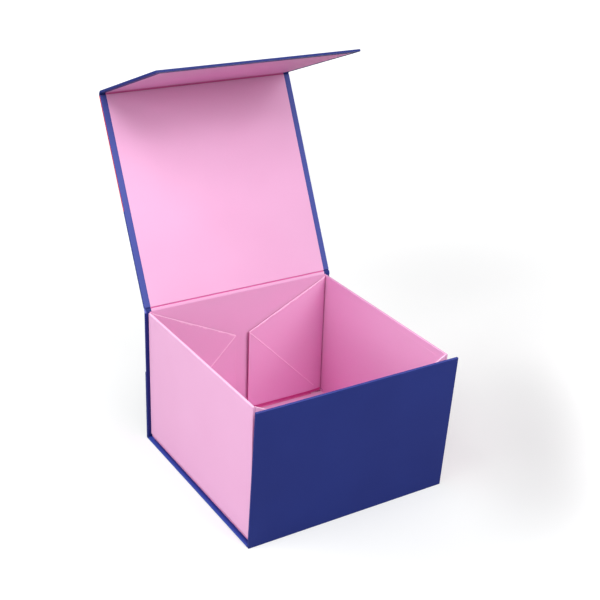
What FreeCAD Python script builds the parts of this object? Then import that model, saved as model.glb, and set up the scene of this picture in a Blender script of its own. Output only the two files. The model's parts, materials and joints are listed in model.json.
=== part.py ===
"""Collapsible gift box: a five-panel wrapped case joined to two side walls by creased corner gussets.

Frame: origin on the table under the middle of the tray, +X to the right, +Y to the back, +Z up.
Every case panel is drawn flat in its own frame, X across, Y from its fold line to its far end and
Z from outside to inside, and is then folded up by its Placement. Lengths in mm, angles in degrees.
"""
import FreeCAD, Part
import os
import Sketcher

SIZES = {
    "tray_width": (200, "outer faces of the two side walls"),
    "tray_depth": (200, "inner faces of the front and back panels, upright"),
    "back_height": (138.4, "back panel, table to top"),
    "wall_drop": (1.1, "top of the side walls below the back panel's top"),
    "front_lean": (3.5, "front panel, outwards from upright while the lid is open"),
    "lid_lean": (26.2, "lid, backwards from upright"),
    "flap_fold": (95.6, "turn from the lid's plane to the flap's plane"),
    "crease_setback": (1.4, "lid crease behind the back panel's inner face"),
    "crease_rise": (3.4, "lid crease above the back panel's top"),
    "hinge_strip": (1.5, "paper strip between lid and flap, crease to crease"),
    "closed_slope": (0.7, "lid, downwards to the front when pressed shut"),
    "strip_clearance": (0.3, "paper strip to the front panel's edge when pressed shut"),
    "flap_clearance": (0.35, "flap hanging upright to the front panel's face"),
    "flap_lift": (5, "closed flap's free edge above the table"),
    "crease_gap": (0.5, "board edge to the crease it folds on"),
    "panel_overhang": (3.2, "case panels beyond the side walls, each side"),
    "board_thickness": (2, "greyboard of the case panels"),
    "wall_board_thickness": (1.9, "greyboard of the side walls"),
    "paper_thickness": (0.25, "cover, wrap and lining papers with their glue"),
    "turn_in": (6.4, "cover paper left showing round a lining"),
    "edge_round": (0.4, "rounding of the paper over a board's edge"),
    "fold_clearance": (0.3, "front panel to the tray when upright"),
    "foot_gap": (3, "side walls and gussets above the base panel"),
    "flange_width": (12, "wall hinge paper glued to the base"),
    "gusset_thickness": (1.2, "faced card of the gussets"),
    "gusset_gap": (15, "between the free edges of two facing gussets"),
    "score_width": (2, "diagonal score pressed in a rear gusset"),
    "score_depth": (0.4, "depth of that score"),
    "split_width": (0.8, "between the two halves of a front gusset"),
    "lap_height": (74, "outer lap panel, up the back panel"),
    "lap_thickness": (1.2, "covered card of the lap panel"),
    "magnet_diameter": (15, "closing magnets and their steel plates"),
    "magnet_thickness": (1.5, "closing magnets"),
    "plate_thickness": (1, "steel plates"),
    "magnet_inset": (18, "magnet centres from the flap's free edge"),
    "magnet_spacing": (120, "between the two magnet centres"),
    "magnet_clearance": (0.1, "pocket wall to magnet or plate"),
}

PANEL = "(Sizes.board_thickness + 2 * Sizes.paper_thickness)"
WALL = "(Sizes.wall_board_thickness + 2 * Sizes.paper_thickness)"
HINGE_PAPER = "(2 * Sizes.paper_thickness)"
PANEL_WIDTH = "(Sizes.tray_width + 2 * Sizes.panel_overhang)"
WALL_INSIDE = f"(Sizes.tray_width / 2 - {WALL})"
WALL_FOOT = f"({PANEL} + Sizes.foot_gap)"
INNER_FRONT = "(-Sizes.tray_depth / 2)"
INNER_BACK = "(Sizes.tray_depth / 2)"
TRAY_FRONT = f"({INNER_FRONT} + Sizes.fold_clearance)"
TRAY_MARGIN = f"(Sizes.panel_overhang + {WALL} / 2)"
WALL_TOP = "(Sizes.back_height - Sizes.wall_drop)"

LID_TURN = "(90 - Sizes.lid_lean)"
STRIP_TURN = f"({LID_TURN} + Sizes.flap_fold / 2)"
FLAP_TURN = f"({LID_TURN} + Sizes.flap_fold)"


def cosine(angle):
    """Expression for the cosine of an angle in degrees."""
    return f"cos({angle} * 1 deg)"


def sine(angle):
    """Expression for the sine of an angle in degrees."""
    return f"sin({angle} * 1 deg)"


LID_LINE = (f"({INNER_BACK} + Sizes.crease_setback)", "(Sizes.back_height + Sizes.crease_rise)")

# The flap keeps its fold, so it already hangs upright while the lid stands above level by as much
# as the fold exceeds a right angle. There it passes the front panel, which sets the lid's length.
# Pressed shut, the lid slopes down to the front, which sets the flap's length and the front's height.
UPRIGHT_FLAP_RISE = "(Sizes.flap_fold - 90)"
CLOSED_STRIP = "(90 - Sizes.flap_fold / 2)"
STRIP_ALONG = f"(Sizes.hinge_strip * {cosine(CLOSED_STRIP)})"
LID_LENGTH = (f"(({LID_LINE[0]} - {INNER_FRONT} + {PANEL} + Sizes.flap_clearance - {STRIP_ALONG})"
              f" / {cosine(UPRIGHT_FLAP_RISE)})")
CLOSED_LID_END = f"({LID_LINE[1]} - {LID_LENGTH} * {sine('Sizes.closed_slope')})"
CLOSED_FLAP_LINE = f"({CLOSED_LID_END} - Sizes.hinge_strip * {sine(CLOSED_STRIP)})"
FLAP_LENGTH = f"({CLOSED_FLAP_LINE} - Sizes.flap_lift)"
STRIP_DROP = (f"((Sizes.strip_clearance + ({STRIP_ALONG} - Sizes.flap_clearance)"
              f" * {sine(CLOSED_STRIP)}) / {cosine(CLOSED_STRIP)})")
FRONT_HEIGHT = f"({CLOSED_LID_END} - {STRIP_DROP})"

STRIP_LINE = (f"({LID_LINE[0]} + {LID_LENGTH} * {cosine(LID_TURN)})",
              f"({LID_LINE[1]} + {LID_LENGTH} * {sine(LID_TURN)})")
FLAP_LINE = (f"({STRIP_LINE[0]} + Sizes.hinge_strip * {cosine(STRIP_TURN)})",
             f"({STRIP_LINE[1]} + Sizes.hinge_strip * {sine(STRIP_TURN)})")

doc = FreeCAD.newDocument("collapsible_gift_box")


def make_sizes():
    """Spreadsheet with one named cell for each driving size."""
    sheet = doc.addObject("Spreadsheet::Sheet", "Sizes")
    for row, (alias, (value, meaning)) in enumerate(SIZES.items(), start=1):
        sheet.set(f"A{row}", alias)
        sheet.set(f"B{row}", str(value))
        sheet.set(f"C{row}", meaning)
        sheet.setAlias(f"B{row}", alias)
    doc.recompute()
    return sheet


sizes = make_sizes()


def number(expression):
    """Present value of an expression over the sizes."""
    result = sizes.evalExpression(expression.replace("Sizes.", ""))
    return float(getattr(result, "Value", result))


def placed(y, z, turn="0", yaw="0", x="0"):
    """Placement expression: a fold line at (y, z) and the turn about it."""
    return f"placement(vector({x}; {y}; {z}); rotation({yaw}; 0; {turn}))"


def new_body(name, placement):
    """Empty body whose Label names the piece."""
    body = doc.addObject("PartDesign::Body", name)
    body.Label = name
    body.setExpression("Placement", placement)
    return body


def new_sketch(body, name, plane, level):
    """Sketch on one of the body's own origin planes, lifted by level along its normal."""
    sketch = body.newObject("Sketcher::SketchObject", f"{body.Label}_{name}")
    features = body.Origin.OriginFeatures
    support = next(feature for feature in features if feature.Role == plane)
    sketch.AttachmentSupport = (support, [""])
    sketch.MapMode = "FlatFace"
    sketch.setExpression(".AttachmentOffset.Base.z", level)
    return sketch


def bind(sketch, kind, geometry, vertex, expression):
    """Distance of a vertex from the sketch's origin, bound to an expression."""
    link = Sketcher.Constraint(kind, -1, 1, geometry, vertex, number(expression))
    sketch.setExpression(f"Constraints[{sketch.addConstraint(link)}]", expression)


def draw_loop(sketch, corners):
    """Closed outline through corners, each a pair of expressions."""
    points = [FreeCAD.Vector(number(x), number(y), 0) for x, y in corners]
    sides = [sketch.addGeometry(Part.LineSegment(start, end), False)
             for start, end in zip(points, points[1:] + points[:1])]
    for side, following in zip(sides, sides[1:] + sides[:1]):
        sketch.addConstraint(Sketcher.Constraint("Coincident", side, 2, following, 1))
    for side, (x, y) in zip(sides, corners):
        bind(sketch, "DistanceX", side, 1, x)
        bind(sketch, "DistanceY", side, 1, y)


def draw_circle(sketch, centre, radius):
    """Circle at a centre given as a pair of expressions."""
    middle = FreeCAD.Vector(number(centre[0]), number(centre[1]), 0)
    ring = sketch.addGeometry(Part.Circle(middle, FreeCAD.Vector(0, 0, 1), number(radius)), False)
    bind(sketch, "DistanceX", ring, 3, centre[0])
    bind(sketch, "DistanceY", ring, 3, centre[1])
    size = sketch.addConstraint(Sketcher.Constraint("Radius", ring, number(radius)))
    sketch.setExpression(f"Constraints[{size}]", radius)


def pad(body, sketch, height, symmetric=False):
    """Pad a sketch along its normal, or half to each side."""
    feature = body.newObject("PartDesign::Pad", f"{sketch.Name}_pad")
    feature.Profile = sketch
    feature.setExpression("Length", height)
    if symmetric:
        feature.SideType = "Symmetric"
    return feature


def pocket(body, sketch, depth):
    """Cut a sketch into the body against its normal, and check that it cuts."""
    doc.recompute()
    before = body.Shape.Volume
    feature = body.newObject("PartDesign::Pocket", f"{sketch.Name}_pocket")
    feature.Profile = sketch
    feature.setExpression("Length", depth)
    doc.recompute()
    if body.Shape.Volume >= before:
        raise RuntimeError(f"{body.Label}: a pocket cuts nothing")
    return feature


def rectangle(x_low, x_high, y_low, y_high):
    """Corners of a rectangle, anticlockwise."""
    return [(x_low, y_low), (x_high, y_low), (x_high, y_high), (x_low, y_high)]


def plate(name, placement, corners, level, thickness):
    """Flat piece: one outline padded from level to level plus thickness."""
    body = new_body(name, placement)
    sketch = new_sketch(body, "outline", "XY_Plane", level)
    draw_loop(sketch, corners)
    pad(body, sketch, thickness)
    return body


def round_cover_edges(body, layer, half_width, start, end, outer, inner):
    """Round the long edges of a cover where the paper turns over its board."""
    doc.recompute()
    limits = [number(value) for value in (half_width, start, end, outer, inner)]
    half, low, high, bottom, top = limits
    names = []
    for index, edge in enumerate(layer.Shape.Edges, start=1):
        box = edge.BoundBox
        flat = box.ZLength < 1e-6 and min(abs(box.ZMin - bottom), abs(box.ZMin - top)) < 1e-6
        at_side = box.XLength < 1e-6 and abs(abs(box.XMin) - half) < 1e-6
        at_end = box.YLength < 1e-6 and abs(box.YMin - high) < 1e-6 and box.XLength > half
        if flat and (at_side or at_end):
            names.append(f"Edge{index}")
    fillet = body.newObject("PartDesign::Fillet", f"{body.Label}_round")
    fillet.Base = (layer, names)
    fillet.setExpression("Radius", "Sizes.edge_round")
    return fillet


class WrappedPanel:
    """Board wrapped in a cover paper that is turned in round the edge of a lining paper.

    start and end are the panel's limits from its fold line, outer the level of its outside face,
    margin the turn-in at its sides and end_margin the one at its far end, "0" where it is a fold.
    """

    def __init__(self, name, placement, width, start, end, board, outer, margin, end_margin):
        self.name = name
        self.placement = placement
        self.half = f"({width} / 2)"
        self.start = start
        self.end = end
        self.board = board
        self.outer = outer
        self.margin = margin
        self.end_margin = end_margin
        self.inner = f"({outer} + {board} + 2 * Sizes.paper_thickness)"

    def inset(self, distance, end_distance):
        """Rectangle inside the panel, held off its sides and both its ends."""
        x = f"({self.half} - {distance})"
        return rectangle(f"(-{x})", x, f"({self.start} + {end_distance})",
                         f"({self.end} - {end_distance})")

    def window(self):
        """Rectangle of the lining, which runs right to every fold."""
        x = f"({self.half} - {self.margin})"
        return rectangle(f"(-{x})", x, self.start, f"({self.end} - {self.end_margin})")

    def turned_in_loops(self):
        """Outlines of the turned-in paper: two side strips, or a U round a free end."""
        x_in = f"({self.half} - {self.margin})"
        if self.end_margin == "0":
            return [rectangle(f"(-{self.half})", f"(-{x_in})", self.start, self.end),
                    rectangle(x_in, self.half, self.start, self.end)]
        y_in = f"({self.end} - {self.end_margin})"
        return [[(f"(-{self.half})", self.start), (f"(-{x_in})", self.start), (f"(-{x_in})", y_in),
                 (x_in, y_in), (x_in, self.start), (self.half, self.start),
                 (self.half, self.end), (f"(-{self.half})", self.end)]]

    def make_board(self):
        """Greyboard core."""
        return plate(f"{self.name}_board", self.placement,
                     self.inset("Sizes.paper_thickness", "Sizes.paper_thickness"),
                     f"({self.outer} + Sizes.paper_thickness)", self.board)

    def make_cover(self, label="cover"):
        """Cover paper: outside face, four turned edges and the turned-in margin."""
        body = new_body(f"{self.name}_{label}", self.placement)
        face = new_sketch(body, "face", "XY_Plane", self.outer)
        draw_loop(face, self.inset("0", "0"))
        pad(body, face, "Sizes.paper_thickness")
        edges = new_sketch(body, "edges", "XY_Plane", f"({self.outer} + Sizes.paper_thickness)")
        draw_loop(edges, self.inset("0", "0"))
        draw_loop(edges, self.inset("Sizes.paper_thickness", "Sizes.paper_thickness"))
        pad(body, edges, self.board)
        margin = new_sketch(body, "turn_in", "XY_Plane", f"({self.inner} - Sizes.paper_thickness)")
        for loop in self.turned_in_loops():
            draw_loop(margin, loop)
        layer = pad(body, margin, "Sizes.paper_thickness")
        round_cover_edges(body, layer, self.half, self.start, self.end, self.outer, self.inner)
        return body

    def make_lining(self):
        """Lining paper, flush with the turned-in margin."""
        return plate(f"{self.name}_lining", self.placement, self.window(),
                     f"({self.inner} - Sizes.paper_thickness)", "Sizes.paper_thickness")


def case_panel(name, placement, start, end, outer, margin, end_margin):
    """One of the five panels of the case, with the case's own width and board."""
    return WrappedPanel(name, placement, PANEL_WIDTH, start, end,
                        "Sizes.board_thickness", outer, margin, end_margin)


FRONT_PLACE = placed(f"({INNER_FRONT} - {PANEL})", "0", "(90 - Sizes.front_lean)", yaw="180")
BACK_PLACE = placed(f"({INNER_BACK} + {PANEL})", "0", "90")
LID_PLACE = placed(*LID_LINE, LID_TURN)
STRIP_PLACE = placed(*STRIP_LINE, STRIP_TURN)
FLAP_PLACE = placed(*FLAP_LINE, FLAP_TURN)
HUNG_OUTSIDE = f"(-{PANEL})"


def magnet_pieces(body, name, placement, height, top, thickness, facing="1"):
    """Pair of discs in round pockets sunk from the inside face of a board.

    facing is "-1" on a panel whose own X axis points to the tray's left.
    """
    pieces = []
    radius = "(Sizes.magnet_diameter / 2)"
    for side, hand in (("left", "-1"), ("right", "1")):
        sign = f"({hand} * {facing})"
        centre = (f"({sign} * Sizes.magnet_spacing / 2)", height)
        hole = new_sketch(body, f"{side}_pocket", "XY_Plane", top)
        draw_circle(hole, centre, f"({radius} + Sizes.magnet_clearance)")
        pocket(body, hole, thickness)
        disc = new_body(f"{side}_{name}", placement)
        outline = new_sketch(disc, "outline", "XY_Plane", f"({top} - {thickness})")
        draw_circle(outline, centre, radius)
        pad(disc, outline, thickness)
        pieces.append(disc)
    return pieces


def make_front():
    """Front panel with the steel plates that the magnets close on."""
    panel = case_panel("front", FRONT_PLACE, "0", FRONT_HEIGHT, "0",
                       TRAY_MARGIN, "Sizes.turn_in")
    board = panel.make_board()
    height = f"({CLOSED_FLAP_LINE} - {FLAP_LENGTH} + Sizes.magnet_inset)"
    top = "(Sizes.paper_thickness + Sizes.board_thickness)"
    plates = magnet_pieces(board, "steel_plate", FRONT_PLACE, height, top,
                           "Sizes.plate_thickness", facing="-1")
    return [board, panel.make_cover(), panel.make_lining()] + plates


def make_base():
    """Base panel, lying flat between the front and back panels."""
    place = placed("0", "0")
    panel = case_panel("base", place, TRAY_FRONT, INNER_BACK, "0", TRAY_MARGIN, "0")
    return [panel.make_board(), panel.make_cover(), panel.make_lining()]


def make_back():
    """Back panel with the lap panel over the lower half of its outside."""
    panel = case_panel("back", BACK_PLACE, "0", "Sizes.back_height", "0", TRAY_MARGIN, "0")
    lap = plate("back_lap_panel", BACK_PLACE,
                rectangle(f"(-{PANEL_WIDTH} / 2)", f"({PANEL_WIDTH} / 2)", "0", "Sizes.lap_height"),
                "(-Sizes.lap_thickness)", "Sizes.lap_thickness")
    return [panel.make_board(), panel.make_cover(), panel.make_lining(), lap]


def make_lid():
    """Lid panel, from its crease at the back to the flap's first crease."""
    panel = case_panel("lid", LID_PLACE, "Sizes.crease_gap", f"({LID_LENGTH} - Sizes.crease_gap)",
                       HUNG_OUTSIDE, "Sizes.turn_in", "0")
    return [panel.make_board(), panel.make_cover(), panel.make_lining()]


def make_flap():
    """Closing flap with its two magnets."""
    panel = case_panel("flap", FLAP_PLACE, "Sizes.crease_gap", FLAP_LENGTH,
                       HUNG_OUTSIDE, "Sizes.turn_in", "Sizes.turn_in")
    board = panel.make_board()
    height = f"({FLAP_LENGTH} - Sizes.magnet_inset)"
    top = "(-Sizes.paper_thickness)"
    magnets = magnet_pieces(board, "magnet", FLAP_PLACE, height, top, "Sizes.magnet_thickness")
    return [board, panel.make_cover(), panel.make_lining()] + magnets


def make_lid_hinge_paper():
    """Cover and lining papers glued together between the back panel's top and the lid crease."""
    body = new_body("lid_hinge_paper", placed("0", "0"))
    sketch = new_sketch(body, "section", "YZ_Plane", "0")
    top = f"({LID_LINE[1]} - Sizes.crease_gap)"
    draw_loop(sketch, [(INNER_BACK, "Sizes.back_height"),
                       (f"({INNER_BACK} + {HINGE_PAPER})", "Sizes.back_height"),
                       (LID_LINE[0], top),
                       (f"({LID_LINE[0]} - {HINGE_PAPER})", top)])
    pad(body, sketch, PANEL_WIDTH, symmetric=True)
    return body


def make_flap_hinge_paper():
    """Paper strip between the lid's end and the flap, creased along both its edges."""
    half = f"({PANEL_WIDTH} / 2)"
    outline = rectangle(f"(-{half})", half, "(Sizes.crease_gap / 2)",
                        "(Sizes.hinge_strip - Sizes.crease_gap / 2)")
    return plate("flap_hinge_paper", STRIP_PLACE, outline, f"(-{HINGE_PAPER})", HINGE_PAPER)


def make_wall(side, sign):
    """Side wall: board, wrap and lining, standing off the base on its paper hinge."""
    middle = "(Sizes.fold_clearance / 2)"
    place = placed(middle, WALL_FOOT, "90", yaw=f"({sign} * -90)", x=f"({sign} * Sizes.tray_width / 2)")
    depth = f"({INNER_BACK} - {TRAY_FRONT})"
    panel = WrappedPanel(f"{side}_wall", place, depth, "0", f"({WALL_TOP} - {WALL_FOOT})",
                         "Sizes.wall_board_thickness", "0", "Sizes.turn_in", "Sizes.turn_in")
    return [panel.make_board(), panel.make_cover("wrap"), panel.make_lining(),
            make_wall_hinge(side, sign, middle, depth)]


def make_wall_hinge(side, sign, middle, depth):
    """L-section paper under a side wall's inner face, with its flange glued to the base."""
    body = new_body(f"{side}_wall_hinge", placed(middle, "0"))
    sketch = new_sketch(body, "section", "XZ_Plane", "0")
    web = f"({sign} * ({WALL_INSIDE} + {HINGE_PAPER}))"
    face = f"({sign} * {WALL_INSIDE})"
    toe = f"({sign} * ({WALL_INSIDE} - Sizes.flange_width))"
    flange_top = f"({PANEL} + {HINGE_PAPER})"
    draw_loop(sketch, [(web, PANEL), (web, WALL_FOOT), (face, WALL_FOOT), (face, flange_top),
                       (toe, flange_top), (toe, PANEL)])
    pad(body, sketch, f"({depth} - 2 * Sizes.turn_in)", symmetric=True)
    return body


# Corner gussets. The fold vertex lies on the wall's inner face at half the foot gap, and the score
# runs from it at 45 degrees, so that the corner folds flat when the side wall is pushed inwards.
GUSSET_FREE_EDGE = "(Sizes.gusset_gap / 2)"
FOLD_VERTEX = f"({PANEL} + Sizes.foot_gap / 2)"
SCORE_TOP = f"({FOLD_VERTEX} + {WALL_INSIDE} - {GUSSET_FREE_EDGE})"
SCORE_FOOT = f"({WALL_INSIDE} - Sizes.foot_gap / 2)"
SCORE_RISE = "(Sizes.score_width / 2 / cos(45 deg))"
SPLIT_RISE = "(Sizes.split_width / 2 / cos(45 deg))"


def gusset_body(name, sign, face, corners):
    """Gusset card upright across the tray, its room side or its panel side at face."""
    body = new_body(name, placed(face, "0"))
    sketch = new_sketch(body, "outline", "XZ_Plane", "0")
    draw_loop(sketch, [(f"({sign} * {x})", height) for x, height in corners])
    pad(body, sketch, "Sizes.gusset_thickness")
    return body


def make_rear_gusset(side, sign):
    """Whole rear gusset: slanted top edge, free edge, and a score pressed in its room side."""
    body = gusset_body(f"{side}_rear_gusset", sign, INNER_BACK,
                       [(WALL_INSIDE, WALL_FOOT), (GUSSET_FREE_EDGE, WALL_FOOT),
                        (GUSSET_FREE_EDGE, SCORE_TOP), (WALL_INSIDE, WALL_TOP)])
    score = new_sketch(body, "score", "XZ_Plane", "Sizes.gusset_thickness")
    overrun = "Sizes.score_width"
    x_low = f"({GUSSET_FREE_EDGE} - {overrun})"
    x_high = f"({SCORE_FOOT} + {overrun})"
    high, low = f"({SCORE_TOP} + {overrun})", f"({WALL_FOOT} - {overrun})"
    draw_loop(score, [(f"({sign} * {x_low})", f"({high} - {SCORE_RISE})"),
                      (f"({sign} * {x_high})", f"({low} - {SCORE_RISE})"),
                      (f"({sign} * {x_high})", f"({low} + {SCORE_RISE})"),
                      (f"({sign} * {x_low})", f"({high} + {SCORE_RISE})")])
    pocket(body, score, "Sizes.score_depth")
    return body


def make_front_gusset(side, sign):
    """Front gusset in two halves: the upper on the side wall, the lower on the front panel."""
    upper = gusset_body(f"{side}_front_gusset_upper", sign,
                        f"({TRAY_FRONT} + Sizes.gusset_thickness)",
                        [(WALL_INSIDE, WALL_FOOT), (f"({SCORE_FOOT} + {SPLIT_RISE})", WALL_FOOT),
                         (GUSSET_FREE_EDGE, f"({SCORE_TOP} + {SPLIT_RISE})"),
                         (WALL_INSIDE, WALL_TOP)])
    lower = plate(f"{side}_front_gusset_lower", FRONT_PLACE,
                  [(f"(-1 * {sign} * {x})", height) for x, height in
                   ((f"({SCORE_FOOT} - {SPLIT_RISE})", WALL_FOOT), (GUSSET_FREE_EDGE, WALL_FOOT),
                    (GUSSET_FREE_EDGE, f"({SCORE_TOP} - {SPLIT_RISE})"))],
                  PANEL, "Sizes.gusset_thickness")
    return [upper, lower]


def make_tray_sides():
    """Both side walls with their gussets."""
    pieces = []
    for side, sign in (("left", "-1"), ("right", "1")):
        pieces += make_wall(side, sign)
        pieces.append(make_rear_gusset(side, sign))
        pieces += make_front_gusset(side, sign)
    return pieces


def check(pieces):
    """Stop if any object failed, or a piece isn't one sound solid."""
    doc.recompute()
    for item in doc.Objects:
        if "Invalid" in item.State or "Error" in item.State:
            raise RuntimeError(f"{item.Label} failed: {item.State}")
    for piece in pieces:
        shape = piece.Shape
        if shape.isNull() or not shape.isValid() or len(shape.Solids) != 1:
            raise RuntimeError(f"{piece.Label} is not one valid solid")


def export(pieces):
    """Write one STEP file for each piece, named by its Label."""
    os.makedirs("parts", exist_ok=True)
    for piece in pieces:
        piece.Shape.exportStep(f"parts/{piece.Label}.step")
    print(len(pieces), "pieces written")


PIECES = (make_front() + make_base() + make_back() + make_lid() + make_flap()
          + [make_lid_hinge_paper(), make_flap_hinge_paper()] + make_tray_sides())
check(PIECES)
export(PIECES)
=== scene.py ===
"""Looks of a collapsible gift box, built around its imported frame.

The box is a case of five wrapped panels (front, base, back, lid and closing flap) in blue paper,
and two pink side walls that join it through creased corner gussets. Every length is in metres and
every turn in degrees, in the frame's own axes: X across the box, Y from front to back, Z up.
"""

import json
import logging
import math
from dataclasses import dataclass, field
from enum import Enum
from typing import Callable, Sequence

import bmesh
import bpy
from bpy.types import ID, Material, Mesh, Node, NodeInputs, NodeSocket, NodeTree, Object
from mathutils import Matrix, Vector


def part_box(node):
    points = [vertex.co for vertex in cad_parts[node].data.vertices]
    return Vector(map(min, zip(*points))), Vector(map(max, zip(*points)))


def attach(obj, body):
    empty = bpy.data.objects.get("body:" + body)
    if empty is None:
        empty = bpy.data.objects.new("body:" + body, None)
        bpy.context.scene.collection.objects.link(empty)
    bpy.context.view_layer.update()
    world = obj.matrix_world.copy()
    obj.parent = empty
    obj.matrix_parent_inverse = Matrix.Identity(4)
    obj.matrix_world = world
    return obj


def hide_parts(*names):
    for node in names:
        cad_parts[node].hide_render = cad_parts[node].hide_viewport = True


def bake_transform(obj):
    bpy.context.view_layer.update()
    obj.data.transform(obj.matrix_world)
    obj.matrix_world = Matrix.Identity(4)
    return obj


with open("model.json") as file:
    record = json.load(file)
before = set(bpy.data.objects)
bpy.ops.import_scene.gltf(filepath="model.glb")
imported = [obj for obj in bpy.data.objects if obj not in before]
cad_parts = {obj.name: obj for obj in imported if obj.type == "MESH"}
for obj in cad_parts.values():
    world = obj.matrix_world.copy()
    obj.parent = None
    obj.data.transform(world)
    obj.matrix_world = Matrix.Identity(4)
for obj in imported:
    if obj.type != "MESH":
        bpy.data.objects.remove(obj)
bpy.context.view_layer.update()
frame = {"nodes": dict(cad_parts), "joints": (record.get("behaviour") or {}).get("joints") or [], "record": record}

logging.basicConfig(level=logging.INFO, format="%(message)s")
LOG = logging.getLogger("gift_box")

MM = 0.001
QUARTER = math.pi / 2.0
LOW, HIGH = 0, 1  # corners of a CAD node's box, and ends of a joint's range
X, Y, Z = 0, 1, 2
INSIDE, OUTSIDE, GROOVE = 0, 1, 2  # materials of a hinge strip; the groove's is painted shade

NO_HIGHLIGHT = 1.0  # edge_distance of places that the painted edge highlight never reaches
BEVEL_ANGLE = math.radians(40.0)
STRIP_SHARP = math.radians(15.0)
EDGE_FACE = 0.5  # cosine under which a card's face counts as its edge
PLAIN_SPACING = 80.0 * MM
PAPER_ROUNDING = 0.05 * MM
CREASE_STEPS = 14
MERGE = 1e-6
NOISE_SPREAD = (0.3, 0.7)  # values between which most of a noise lies
FIELD_EDGE = (0.49, 0.51)
COOL = (0.94, 1.0, 0.985)
WHITE = (1.0, 1.0, 1.0, 1.0)
CLIP_RANGE = (0.05, 100.0)

Section = Sequence[tuple[float, float]]
Rgb = tuple[float, float, float]
Point = tuple[float, float, float]


# ---- Where things are ----


class Body(Enum):
    """Bodies of the frame that pieces ride on."""

    TRAY = "tray"
    FRONT = "front_panel"
    LID = "lid"
    FLAP = "flap"


class Slot(Enum):
    """Material slots of the record."""

    GREYBOARD = "greyboard"
    BLUE_PAPER = "blue_paper"
    PINK_PAPER = "pink_paper"
    PINK_CARD = "pink_card"
    MAGNET = "magnet"
    STEEL = "steel"


class Cover(Enum):
    """Finishes that a panel's cover may have, by their names among the finishes."""

    PLAIN = "blue"
    WITH_FIELD = "lid_blue"
    # Base cover whose pale edges are a painted highlight on its ledge and sides
    PALE_EDGED = "base_blue"


@dataclass(frozen=True)
class Place:
    """A panel's own axes: X across it, Y up from its fold line, Z from its outside to its inside.

    Attributes:
        y: Fold line, front to back.
        z: Fold line's height.
        turn: Turn of the panel about its fold line, in degrees.
        faces_back: True where the panel's inside faces the back of the box.
    """

    y: float
    z: float
    turn: float
    faces_back: bool = False

    def matrix(self) -> Matrix:
        """Matrix from the panel's own axes to the frame's.

        Returns:
            The matrix, a turn followed by a move.
        """
        turned = Matrix.Rotation(math.radians(self.turn), 4, "X")
        if self.faces_back:
            turned = Matrix.Rotation(math.pi, 4, "Z") @ turned
        return Matrix.Translation((0.0, self.y, self.z)) @ turned

    def line(self, *points: tuple[float, float]) -> Section:
        """Line of the panel's lengthwise section.

        Args:
            *points: Each point's distance from the fold line, and its height over the panel's
                reference face towards its inside.

        Returns:
            The points' Y and Z in the frame.
        """
        placed = [self.matrix() @ Vector((0.0, along, level)) for along, level in points]
        return [(point.y, point.z) for point in placed]


def joint(name: str) -> dict:
    """The record's joint of that name."""
    return next(entry for entry in frame["joints"] if entry["name"] == name)


def pivot(name: str) -> tuple[float, float]:
    """Y and Z of a joint's axis."""
    return tuple(joint(name)["pos_m"][Y:])


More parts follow.
